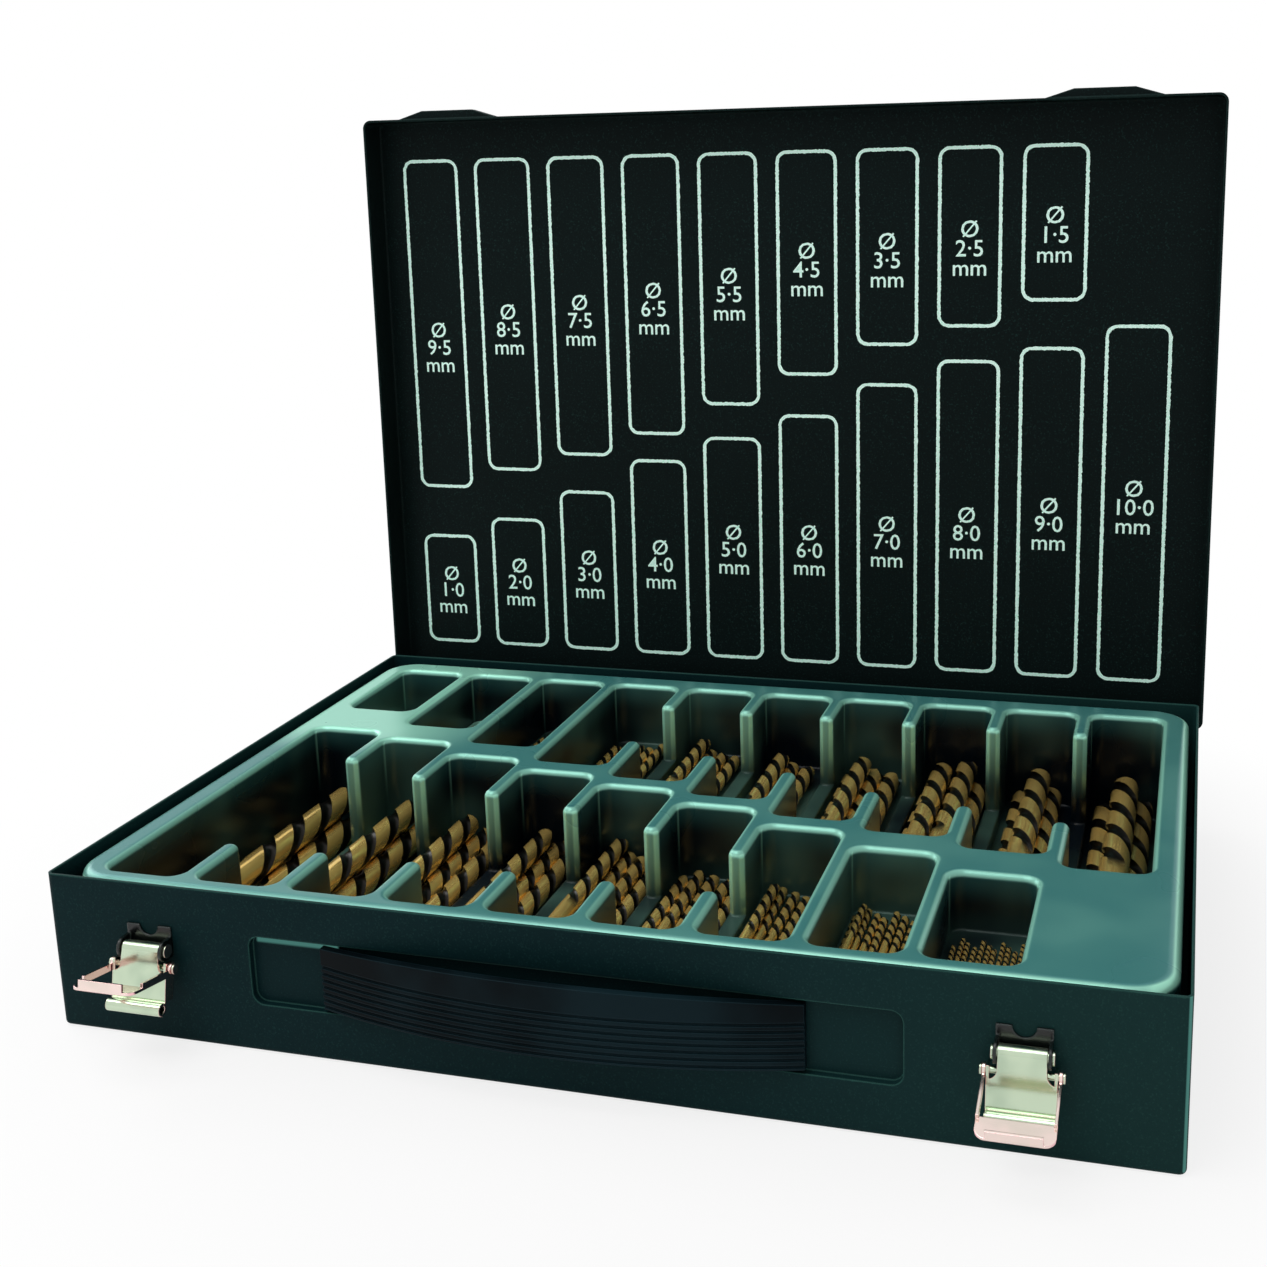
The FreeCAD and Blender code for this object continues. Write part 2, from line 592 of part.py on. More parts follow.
def stub_nose(edge):
    """The upright edges where a divider ends at its notch."""
    if not upright(edge) or abs(edge.BoundBox.ZMax - tray_top) > TINY:
        return False
    pitch = value(PITCH)
    half = size("divider_width") / 2
    place = (edge.BoundBox.Center.x + pitch * COLUMNS / 2) % pitch
    return min(abs(place - half), abs(place - pitch + half)) < TINY


tray = rounded("tray_stubs", tray, stub_nose, "stub_radius")
doc.recompute()


def is_rim(edge):
    """Whether an edge lies on the outer line of the insert."""
    bounds = edge.BoundBox
    outside = max(abs(bounds.XMin), abs(bounds.XMax)) > value(TRAY_X + " - tray_wall")
    front = bounds.YMin < value(TRAY_FRONT + " + tray_wall")
    rear = bounds.YMax > value(TRAY_REAR + " - tray_wall")
    return outside or front or rear


tray = rounded("tray_openings", tray, lambda e: level_at(tray_top)(e) and not is_rim(e), "pocket_edge")
doc.recompute()
tray = rounded("tray_rim", tray, lambda e: level_at(tray_top)(e) and is_rim(e), "tray_lip_radius")
doc.recompute()
keep(tray, "insert_tray")

# Bits: a straight shank and body with a ground point, lying point to the rear


def bit_group(row, column):
    """The bits of one pocket: a lower layer side by side, the rest nested on it."""
    tag, diameter, share, spare, count = (REAR_ROW if row == "rear" else FRONT_ROW)[column]
    middle, y_pair, floor = pocket_place(row, column)
    across = "bit_%s_diameter" % tag
    length = "(pocket_%s_share * %s - bit_%s_spare)" % (tag, ROWS, tag)
    height = "%s + rest_gap + %s / 2" % (floor, across)
    point = "(%s / 2 / tan(tip_angle / 2 * 1deg))" % across
    body = rod("bit_body_" + tag, "y", across + " / 2", y_pair[0] + " + bit_clearance",
               "%s - %s" % (length, point), middle, height)
    tip = doc.addObject("Part::Cone", "bit_point_" + tag)
    tip.Placement = FreeCAD.Placement(V(), FreeCAD.Rotation(V(1, 0, 0), -90))
    tip.setExpression("Radius1", cells(across + " / 2"))
    tip.setExpression("Radius2", cells(across + " / 2 * chisel_share"))
    tip.setExpression("Height", cells(point + " * (1 - chisel_share)"))
    tip.setExpression("Placement.Base.x", cells(middle))
    tip.setExpression("Placement.Base.y", cells("%s + bit_clearance + %s - %s" % (y_pair[0], length, point)))
    tip.setExpression("Placement.Base.z", cells(height))
    bit = fuse("bit_" + tag, [body, tip])
    doc.recompute()
    step = size("bit_%s_diameter" % tag) + size("bit_play")
    room = value(CLEAR) - 2 * size("bit_play")
    lower = min(int((room + size("bit_play")) / step), count)
    places = [((k - (lower - 1) / 2) * step, 0) for k in range(lower)]
    places += [((k - (lower - 2) / 2) * step, step * math.sqrt(3) / 2) for k in range(count - lower)]
    copies = []
    for k, (dx, dz) in enumerate(places):
        copy = bit.Shape.copy()
        copy.translate(V(dx, (k * 2 % 3) * size("bit_stagger"), dz))
        copies.append(copy)
    group = doc.addObject("Part::Feature", "group_" + tag)
    group.Shape = Part.makeCompound(copies)
    return keep(group, "drills_" + tag)


for column in range(len(REAR_ROW)):
    bit_group("rear", column)
for column in range(len(FRONT_ROW)):
    bit_group("front", column)

# Handle strap: a bowed ribbed band with a neck and a head at each end

CHORD = "(%s - %s)" % (STRAP_RIGHT, STRAP_LEFT)
SAG = "(strap_bow - strap_thickness + recess_depth - neck_play)"
BACK_RADIUS = "((%s / 2 * %s / 2 + %s * %s) / (2 * %s))" % (CHORD, CHORD, SAG, SAG, SAG)
STRAP_X = "((%s + %s) / 2)" % (STRAP_LEFT, STRAP_RIGHT)
STRAP_Y = "(-case_depth / 2 - strap_bow + strap_thickness + %s)" % BACK_RADIUS
STRAP_LOW = "(%s - strap_height / 2)" % STRAP_MIDDLE
STRAP_TOP = "(%s + strap_height / 2)" % STRAP_MIDDLE
CROWN_RADIUS = "((%s / 2 * %s / 2 + strap_crown * strap_crown) / (2 * strap_crown))" % (CHORD, CHORD)


def ring(name, inner, outer, low, height):
    """A flat ring about the strap's centre of bow."""
    whole = rod(name + "_outer", "z", outer, low, height, STRAP_X, STRAP_Y)
    core = rod(name + "_inner", "z", inner, low + " - overrun", height + " + 2 * overrun", STRAP_X, STRAP_Y)
    return cut(name, whole, core)


band_ring = ring("strap_ring", BACK_RADIUS, BACK_RADIUS + " + strap_thickness", STRAP_LOW,
                 "strap_height + strap_crown")
crown = rod("strap_crown_line", "y", CROWN_RADIUS, FRONT + " - strap_bow - overrun",
            "2 * strap_bow + overrun", STRAP_X, STRAP_TOP + " + strap_crown - " + CROWN_RADIUS)
span = box("strap_span", (STRAP_LEFT, STRAP_RIGHT),
           (FRONT + " - strap_bow - overrun", FRONT + " + recess_depth - neck_play"),
           (STRAP_LOW + " - overrun", STRAP_TOP + " + strap_crown + overrun"))
band = doc.addObject("Part::MultiCommon", "strap_band_solid")
band.Shapes = [band_ring, crown, span]
grooves = []
for number in range(int(size("rib_count"))):
    level = "(%s + (%d + 1 / 2) * (strap_height - strap_band) / rib_count - rib_width / 2)" % (
        STRAP_LOW, number)
    grooves.append(ring("groove_%d" % number, BACK_RADIUS + " + strap_thickness - rib_groove",
                        BACK_RADIUS + " + strap_thickness + overrun", level, "rib_width"))
pieces = [cut("strap_ribs", band, fuse("strap_grooves", grooves))]
HEAD_Y = "(%s + recess_depth + sheet + strap_travel + neck_play)" % FRONT
for number, neck in enumerate(NECKS):
    pieces.append(box("neck_%d" % number, grown((neck, neck), "neck_width / 2"),
                      (FRONT + " + recess_depth - strap_thickness", HEAD_Y + " + head_thickness / 2"),
                      grown((STRAP_MIDDLE, STRAP_MIDDLE), "neck_height / 2")))
    pieces.append(box("head_%d" % number, grown((neck, neck), "head_width / 2"),
                      (HEAD_Y, HEAD_Y + " + head_thickness"),
                      grown((STRAP_MIDDLE, STRAP_MIDDLE), "(neck_height / 2 + head_thickness)")))
keep(fuse("handle_strap", pieces), "handle_strap")

# Draw latches, drawn flat against the wall and then swung to where they hang

PIN_Y = "(%s - lever_pivot_out)" % FRONT
PIVOT = "(base_height - lever_pivot_drop)"
CLAW_Z = "(%s - claw_pivot_drop)" % PIVOT
NECK = "(plate_width / 2 - latch_sheet - latch_gap)"
SHOULDER = "(lever_width / 2)"
ARM = "(lever_width / 2 + latch_gap + latch_sheet)"
BARREL = "(lever_pin_radius + running_gap + latch_sheet)"
FACE = "(%s - %s)" % (PIN_Y, BARREL)


def both(centre, near, far, make):
    """The same piece on both sides of a centre, between two distances from it."""
    return [make(0, (centre + " - " + far, centre + " - " + near)),
            make(1, (centre + " + " + near, centre + " + " + far))]


def pin(name, centre, radius, half, height):
    """A peened rivet through a pair of ears."""
    inner = "(%s + latch_gap / 2)" % half
    shank = rod(name + "_shank", "x", radius, "%s - %s" % (centre, inner), "2 * " + inner, PIN_Y, height)

    def head(number, pair):
        return rod("%s_head_%d" % (name, number), "x", radius + " + pin_head_lap", pair[0], "pin_head",
                   PIN_Y, height)

    return fuse(name, [shank] + both(centre, inner, "(%s + pin_head)" % inner, head))


def bore(name, centre, radius, height):
    """The hole of a rivet, through both sides."""
    return rod(name, "x", radius + " + running_gap", centre + " - lever_width", "2 * lever_width",
               PIN_Y, height)


def latch_plate(side, c):
    """The plate on the wall: a notched back and two round ears."""
    half = "plate_width / 2"
    back = box(side + "_plate_sheet", grown((c, c), half), (FRONT + " - latch_sheet", FRONT),
               (PIVOT + " - ear_radius", PIVOT + " + plate_rise"))
    notch = rod(side + "_plate_notch", "y", "plate_notch_radius", FRONT + " - overrun", "2 * overrun",
                c, PIVOT + " + plate_rise")

    def ear(number, pair):
        name = "%s_ear_%d" % (side, number)
        return fuse(name, [
            box(name + "_web", pair, (PIN_Y, FRONT), grown((PIVOT, PIVOT), "ear_radius")),
            rod(name + "_nose", "x", "ear_radius", pair[0], "latch_sheet", PIN_Y, PIVOT)])

    ears = both(c, "(%s - latch_sheet)" % half, "(%s)" % half, ear)
    whole = fuse(side + "_plate_whole", [cut(side + "_plate_back", back, notch)] + ears)
    return cut(side + "_plate", whole, bore(side + "_plate_bore", c, "lever_pin_radius", PIVOT))


def latch_lever(side, c):
    """The lever: a barrel on its rivet, a waisted face with two flanges, and a finger curl."""
    low = "(%s - lever_length)" % PIVOT
    depth = (FACE, FACE + " + latch_sheet")
    barrel = rod(side + "_barrel", "x", BARREL, "%s - %s" % (c, NECK), "2 * " + NECK, PIN_Y, PIVOT)
    face = box(side + "_lever_face", grown((c, c), SHOULDER), depth, (low, PIVOT))
    waist = "(%s - %s)" % (SHOULDER, NECK)

    def beside(number, pair):
        name = "%s_waist_%d" % (side, number)
        edge = pair[number]
        return fuse(name, [
            box(name + "_gap", pair, grown(depth, "overrun"),
                (PIVOT + " - lever_neck", PIVOT + " + overrun")),
            rod(name + "_curve", "y", waist, FACE + " - overrun", "latch_sheet + 2 * overrun",
                edge, PIVOT + " - lever_neck")])

    face = cut(side + "_lever_sheet", face, fuse(side + "_waists", both(c, NECK, SHOULDER, beside)))

    def flange(number, pair):
        return box("%s_flange_%d" % (side, number), pair, (FACE, PIN_Y + " + claw_eye / 2"),
                   (low + " + finger_roll", CLAW_Z + " + claw_eye / 2"))

    flanges = both(c, "(%s - latch_sheet)" % SHOULDER, SHOULDER, flange)
    curl_y = FACE + " + latch_sheet - finger_roll"
    start = "%s - %s" % (c, SHOULDER)
    roller = rod(side + "_finger_outer", "x", "finger_roll", start, "lever_width", curl_y, low)
    inside = rod(side + "_finger_inner", "x", "finger_roll - latch_sheet", start + " - overrun",
                 "lever_width + 2 * overrun", curl_y, low)
    curl = cut(side + "_finger", roller, inside)
    bores = fuse(side + "_lever_bores", [bore(side + "_barrel_bore", c, "lever_pin_radius", PIVOT),
                                         bore(side + "_flange_bore", c, "claw_pin_radius", CLAW_Z)])
    return cut(side + "_lever", fuse(side + "_lever_whole", [barrel, face] + flanges + [curl]), bores)


def latch_claw(side, c):
    """The claw: two thin arms with round eyes, and a hooked cross plate that reaches over the keeper."""
    tip = "(%s - claw_reach)" % CLAW_Z
    end = "(%s - claw_clear)" % CLAW_Z
    depth = ("%s + claw_offset" % PIN_Y, "%s + claw_offset + latch_sheet" % PIN_Y)

    def arm(number, pair):
        name = "%s_arm_%d" % (side, number)
        return fuse(name, [
            box(name + "_web", pair, (depth[1] + " - claw_arm", depth[1]), (end + " - latch_sheet", CLAW_Z)),
            rod(name + "_eye", "x", "claw_eye / 2", pair[0], "latch_sheet", PIN_Y, CLAW_Z)])

    def tip_corner(edge):
        low = abs(edge.BoundBox.ZMax - value(tip)) < TINY
        return low and abs(direction(edge).y) > STRAIGHT_SHARE

    arms = both(c, "(%s - latch_sheet)" % ARM, ARM, arm)
    cross = rounded(side + "_cross", box(side + "_cross_sheet", grown((c, c), ARM), depth, (tip, end)),
                    tip_corner, "claw_corner")
    lip = box(side + "_lip", grown((c, c), "(%s - claw_corner)" % ARM), (depth[1] + " - claw_lip", depth[1]),
              (tip, tip + " + latch_sheet"))
    return cut(side + "_claw", fuse(side + "_claw_whole", arms + [cross, lip]),
               bore(side + "_claw_bore", c, "claw_pin_radius", CLAW_Z))


def turned(angle, height):
    """A turn about the line of a rivet at that height."""
    return FreeCAD.Placement(V(), FreeCAD.Rotation(V(1, 0, 0), angle), V(0, value(PIN_Y), value(height)))


def latch(side):
    """Plate, lever, claw and two rivets of one latch, the lever and the claw swung out as they hang."""
    c = LATCH[side]
    lever_pin = pin(side + "_lever_rivet", c, "lever_pin_radius", "(plate_width / 2)", PIVOT)
    claw_pin = pin(side + "_claw_rivet", c, "claw_pin_radius", ARM, CLAW_Z)
    keep(latch_plate(side, c), side + "_latch_plate")
    keep(lever_pin, side + "_lever_pin")
    angle = size(side + "_lever_angle")
    back = angle - size(side + "_claw_angle")
    lever_turn = turned(-angle, PIVOT)
    claw_turn = lever_turn.multiply(turned(back, CLAW_Z))
    for piece, place, label in ((latch_lever(side, c), lever_turn, "_latch_lever"),
                                (claw_pin, lever_turn, "_claw_pin"),
                                (latch_claw(side, c), claw_turn, "_latch_claw")):
        piece.Placement = place
        keep(piece, side + label)


latch("left")
latch("right")

doc.recompute()
bad = [o.Name for o in doc.Objects if "Invalid" in o.State or "Error" in o.State]
if bad:
    raise ValueError("these objects failed: " + ", ".join(bad))
os.makedirs("parts", exist_ok=True)
for thing in NODES:
    shape = thing.Shape
    if shape.isNull() or not shape.isValid():
        raise ValueError(thing.Label + " has no valid shape")
    shape.exportStep("parts/%s.step" % thing.Label)
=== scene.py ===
"""The looks of a drill bit drawer case: lacquered pans, insert, fluted bits, latches and print.

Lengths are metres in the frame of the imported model: +X to the right as seen from the front, +Y to
the rear, +Z up, with the origin under the middle of the base. Sizes written in millimetres are
named values times MM.
"""

import json
import logging
import math
import random
from dataclasses import dataclass, field
from enum import Enum
from typing import Any, Iterable, Sequence, Union

import bpy
from mathutils import Matrix, Vector, noise


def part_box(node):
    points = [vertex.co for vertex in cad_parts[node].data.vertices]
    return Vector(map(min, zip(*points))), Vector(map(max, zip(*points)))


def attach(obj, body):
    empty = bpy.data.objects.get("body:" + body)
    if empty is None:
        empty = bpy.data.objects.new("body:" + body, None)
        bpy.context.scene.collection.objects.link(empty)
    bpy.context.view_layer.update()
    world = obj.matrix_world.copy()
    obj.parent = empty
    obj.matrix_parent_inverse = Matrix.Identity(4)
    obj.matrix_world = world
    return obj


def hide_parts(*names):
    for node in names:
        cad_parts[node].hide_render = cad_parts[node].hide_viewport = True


Rgba = tuple[float, float, float, float]
Span = tuple[float, float]  # Two values of a surface, or of noise, between which a mask climbs.
Operand = Union["Value", float]
Face = tuple[int, ...]

MM = 0.001
IMAGE_SIDE = 1267.0
REAR_COLUMNS = 10
FRONT_COLUMNS = 9
NOISE_MEAN = 0.5
FLUTE_SHADE = "flute"
BLACK: Rgba = (0.0, 0.0, 0.0, 1.0)
WHITE: Rgba = (1.0, 1.0, 1.0, 1.0)

log = logging.getLogger("drill_case")


class Body(str, Enum):
    """The bodies that new pieces ride on."""

    BASE = "base"
    LID = "lid"


class Slot(str, Enum):
    """The record's material slots, by name."""

    BITS = "bit_steel"
    STEEL = "case_steel"


class Row(Enum):
    """The two rows of pockets, and of printed outlines on the lid."""

    REAR = 0
    FRONT = 1


def tone(red: int, green: int, blue: int) -> Rgba:
    """A colour as linear light.

    Args:
        red: Display value of red, 0 to 255.
        green: Display value of green, 0 to 255.
        blue: Display value of blue, 0 to 255.

    Returns:
        The colour as a shader takes it, with full alpha.
    """
    top, knee, toe, slope, gain, power = 255.0, 0.04045, 12.92, 0.055, 1.055, 2.4
    shares = [value / top for value in (red, green, blue)]
    linear = [s / toe if s <= knee else ((s + slope) / gain) ** power for s in shares]
    return (linear[0], linear[1], linear[2], 1.0)


class Value:
    """One output of a node, which takes part in sums as a number does."""

    def __init__(self, nodes: "Nodes", socket: bpy.types.NodeSocket) -> None:
        """Keep the socket and the tree that it belongs to."""
        self.nodes = nodes
        self.socket = socket

    def _math(self, operation: str, *terms: Operand) -> "Value":
        """Add a Math node on the given terms."""
        return self.nodes.make("ShaderNodeMath", {"operation": operation}, dict(enumerate(terms)))

    def __add__(self, other: Operand) -> "Value":
        """Self plus other."""
        return self._math("ADD", self, other)

    def __radd__(self, other: Operand) -> "Value":
        """Other plus self."""
        return self._math("ADD", other, self)

    def __sub__(self, other: Operand) -> "Value":
        """Self less other."""
        return self._math("SUBTRACT", self, other)

    def __rsub__(self, other: Operand) -> "Value":
        """Other less self."""
        return self._math("SUBTRACT", other, self)

    def __mul__(self, other: Operand) -> "Value":
        """Self times other."""
        return self._math("MULTIPLY", self, other)

    def __rmul__(self, other: Operand) -> "Value":
        """Other times self."""
        return self._math("MULTIPLY", other, self)

    def __neg__(self) -> "Value":
        """Self with its sign turned."""
        return 0.0 - self

    def absolute(self) -> "Value":
        """Self without its sign."""
        return self._math("ABSOLUTE", self)

    def from_multiple(self, spacing: float) -> "Value":
        """How far self is from the nearest multiple of a spacing."""
        return self._math("PINGPONG", self, spacing / 2)

    def swing(self, amount: float) -> "Value":
        """Noise as a change about its mean, by half of the amount each way."""
        return amount * (self - NOISE_MEAN)

    def between(self, low: float, high: float) -> "Value":
        """How far the value has climbed from low to high, from 0 to 1, with soft ends.

        Args:
            low: The value that gives 0.
            high: The value that gives 1.

        Returns:
            The share as a value.
        """
        settings = {"interpolation_type": "SMOOTHSTEP"}
        limits = {"Value": self, "From Min": low, "From Max": high}
        return self.nodes.make("ShaderNodeMapRange", settings, limits)


class Nodes:
    """A node tree of a material or of the world, and what adds nodes to it.

    FULL_EDGE is how far a rounded normal has turned away where the mask of an edge reaches 1.
    """

    BEVEL_SAMPLES = 6
    FULL_EDGE = 0.16

    def __init__(self, tree: bpy.types.NodeTree) -> None:
        """Start from an empty tree."""
        self.tree = tree
        tree.nodes.clear()

    def make(
        self,
        kind: str,
        settings: dict[str, Any] | None = None,
        inputs: dict[str | int, Any] | None = None,
        output: str | int = 0,
    ) -> Value:
        """Add a node of any type.

        Args:
            kind: The node's type.
            settings: What the node is set to, before its inputs are.
            inputs: A number, a colour or a value for each named or numbered input.
            output: The output that is wanted.

        Returns:
            That output.
        """
        node = self.tree.nodes.new(kind)
        for name, setting in (settings or {}).items():
            setattr(node, name, setting)
        for name, term in (inputs or {}).items():
            socket = node.inputs[name]
            if isinstance(term, Value):
                self.tree.links.new(term.socket, socket)
            else:
                socket.default_value = term
        return Value(self, node.outputs[output] if node.outputs else None)

    def blend(self, mask: Operand, first: Any, second: Any) -> Value:
        """Mix two colours.

        Args:
            mask: 0 for the first colour, 1 for the second.
            first: A colour, or a value that gives one.
            second: The other colour.

        Returns:
            The mixed colour.
        """
        settings = {"data_type": "RGBA"}
        return self.make("ShaderNodeMix", settings, {0: mask, 6: first, 7: second}, 2)

    def place(self) -> Value:
        """The place on the piece, in metres, which stays with the piece as it moves."""
        return self.make("ShaderNodeTexCoord", output="Object")

    def parts(self, vector: Value) -> tuple[Value, Value, Value]:
        """The X, Y and Z parts of a vector."""
        split = self.make("ShaderNodeSeparateXYZ", None, {0: vector}).socket.node
        return tuple(Value(self, split.outputs[axis]) for axis in "XYZ")

    def normal(self) -> Value:
        """Which way the surface faces, with no bump."""
        return self.make("ShaderNodeNewGeometry", output="Normal")

    def spot(self) -> "Spot":
        """The place and the facing of the surface, part by part."""
        return Spot(*self.parts(self.place()), *self.parts(self.normal()))

    def ray(self, kind: str) -> Value:
        """1 for light of one kind, such as what the camera sees, and 0 for the rest."""
        return self.make("ShaderNodeLightPath", output="Is %s Ray" % kind)

    def grain(self, spacing: float, detail: float = 2.0, rough: float = 0.5) -> Value:
        """Fine noise.

        Args:
            spacing: Size of one grain, in metres.
            detail: How many finer layers it holds.
            rough: How strong the finer layers are.

        Returns:
            The noise, about 0.5 on average.
        """
        inputs = {"Vector": self.place(), "Scale": 1 / spacing}
        inputs.update({"Detail": detail, "Roughness": rough})
        return self.make("ShaderNodeTexNoise", None, inputs)

    def fold(self, radius: float) -> tuple[Value, Value]:
        """Rounded edges.

        Args:
            radius: Radius of the roll on each edge, in metres.

        Returns:
            The rounded normal, and a mask that is high on edges and 0 on flats.
        """
        settings = {"samples": self.BEVEL_SAMPLES}
        rounded = self.make("ShaderNodeBevel", settings, {"Radius": radius})
        terms = {0: rounded, 1: self.normal()}
        agree = self.make("ShaderNodeVectorMath", {"operation": "DOT_PRODUCT"}, terms, "Value")
        return rounded, (1.0 - agree).between(0.0, self.FULL_EDGE)

    def relief(self, height: Value, depth: float, normal: Value) -> Value:
        """A bump.

        Args:
            height: Height of the surface, from 0 to 1.
            depth: What a height of 1 stands for, in metres.
            normal: The normal that the bump starts from.

        Returns:
            The bumped normal.
        """
        inputs = {"Distance": depth, "Height": height, "Normal": normal}
        return self.make("ShaderNodeBump", None, inputs)


@dataclass(frozen=True)
class Spot:
    """Where a point of a piece is, in metres, and which way the surface faces there."""

    across: Value
    along: Value
    height: Value
    sideways: Value
    rearward: Value
    upward: Value

    def diagonal(self) -> Value:
        """1 where an upright surface faces between two sides of the case, 0 where it faces one.

        Returns:
            Four times the product of the two squares, which is a quarter at most.
        """
        return 4.0 * (self.sideways * self.sideways) * (self.rearward * self.rearward)


@dataclass(frozen=True)
class Finish:
    """What every finish has: a name, and a surface that its own class makes."""

    name: str

    def surface(self, nodes: Nodes) -> dict[str, Any]:
        """The inputs of the finish's shader, by name; each finish has its own."""
        raise NotImplementedError

    def material(self) -> bpy.types.Material:
        """Make the finish's material, once.

        Returns:
            The material, which later calls give again.
        """
        made = bpy.data.materials.get(self.name)
        if made:
            return made
        made = bpy.data.materials.new(self.name)
        made.use_nodes = True
        nodes = Nodes(made.node_tree)
        shader = nodes.make("ShaderNodeBsdfPrincipled", None, self.surface(nodes))
        nodes.make("ShaderNodeOutputMaterial", None, {"Surface": shader})
        return made


@dataclass(frozen=True)
class Lacquer(Finish):
    """Dark lacquer on sheet steel, with a painted highlight that lightens it over its folds."""

    colour: Rgba
    edge_colour: Rgba
    # The edge colour and edge tone give the painted highlight over the folds; the edge colour also
    # tints the fine speckle.
    edge_radius: float = 0.9 * MM
    edge_tone: float = 0.22
    grain_size: float = 0.55 * MM
    grain_depth: float = 0.02 * MM
    speckle: float = 0.05
    speckle_span: Span = (0.55, 0.75)
    mottle_size: float = 60 * MM
    mottle: float = 0.12
    mottle_span: Span = (0.35, 0.65)
    sheen: float = 0.45
    sheen_swing: float = 0.2
    gloss: float = 0.05

    def surface(self, nodes: Nodes) -> dict[str, Any]:
        """The lacquer's inputs."""
        rounded, edge = nodes.fold(self.edge_radius)
        grain = nodes.grain(self.grain_size)
        cloud = nodes.grain(self.mottle_size, detail=3.0)
        shade = 1.0 - self.mottle * cloud.between(*self.mottle_span)
        dark = nodes.blend(shade, BLACK, self.colour)
        thin = self.speckle * grain.between(*self.speckle_span)
        speckled = nodes.blend(thin, dark, self.edge_colour)
        return {
            # Painted highlight: the colour turns towards the edge colour where the rounded normal
            # leaves the flat.
            "Base Color": nodes.blend(self.edge_tone * edge, speckled, self.edge_colour),
            "Roughness": self.sheen + grain.swing(self.sheen_swing),
            "Specular IOR Level": self.gloss,
            "Normal": nodes.relief(grain, self.grain_depth, rounded),
        }


@dataclass(frozen=True)
class Pan(Lacquer):
    """Lacquer of the base pan, with a painted highlight that glows over one bend and one corner."""

    bend_ends: Span = (-100 * MM, -72 * MM)
    bend_height: float = 36.2 * MM
    bend_half: float = 1.6 * MM
    bend_core: float = 0.4
    front: float = 115.4 * MM
    corner: float = 166 * MM
    corner_span: Span = (0.6, 0.95)
    soft: float = 1.0 * MM
    half_width: float = 170 * MM
    drift: float = 0.045
    # The glint colour and its strength belong to that painted highlight, which glows from the
    # lacquer.
    glint: Rgba = tone(64, 112, 104)
    glint_strength: float = 1.0

    def surface(self, nodes: Nodes) -> dict[str, Any]:
        """The lacquer's inputs, with a painted highlight glowing over the recess's left end and
        along the right corner.
        """
        inputs = super().surface(nodes)
        spot = nodes.spot()
        left, right = self.bend_ends
        past_left = spot.across.between(left, left + self.soft)
        past_right = spot.across.between(right - self.soft, right)
        off = (spot.height - self.bend_height).absolute()
        away = off.between(self.bend_core * self.bend_half, self.bend_half)
        bend = past_left * (1.0 - past_right) * (1.0 - away)
        turned = spot.diagonal().between(*self.corner_span)
        corner = turned * spot.across.between(self.corner, self.corner + self.soft)
        ahead = (-spot.along).between(self.front - self.soft, self.front)
        # The lacquer turns a little paler towards the right side.
        paler = self.drift * spot.across.between(0.0, self.half_width)
        inputs["Base Color"] = nodes.blend(paler, inputs["Base Color"], self.edge_colour)
        # Painted highlight: the bend over the recess and the right corner glow, though no lamp is
        # there.
        inputs["Emission Color"] = nodes.blend(ahead * (bend + corner), BLACK, self.glint)
        inputs["Emission Strength"] = self.glint_strength
        return inputs


@dataclass(frozen=True)
class Moulded(Finish):
    """Dull ribbed plastic of the strap, with a painted highlight that makes it paler over its
    edges.
    """

    colour: Rgba
    pale: Rgba
    shine: float
    gloss: float
    shine_swing: float = 0.08
    ripple_size: float = 9 * MM
    ripple_depth: float = 0.10 * MM
    cloud_scale: float = 5
    cloud_share: float = 0.35
    cloud_span: Span = (0.4, 0.7)
    edge_radius: float = 0.5 * MM
    edge_tone: float = 0.6

    def surface(self, nodes: Nodes) -> dict[str, Any]:
        """The plastic's inputs."""
        rounded, edge = nodes.fold(self.edge_radius)
        ripple = nodes.grain(self.ripple_size, detail=1.0)
        cloud = nodes.grain(self.cloud_scale * self.ripple_size, detail=3.0)
        clouded = self.cloud_share * cloud.between(*self.cloud_span)
        body = nodes.blend(clouded, self.colour, self.pale)
        return {
            # Painted highlight: the colour turns towards the pale colour over the edges.
            "Base Color": nodes.blend(self.edge_tone * edge, body, self.pale),
            "Roughness": self.shine + cloud.swing(self.shine_swing),
            "Specular IOR Level": self.gloss,
            "Normal": nodes.relief(ripple, self.ripple_depth, rounded),
        }


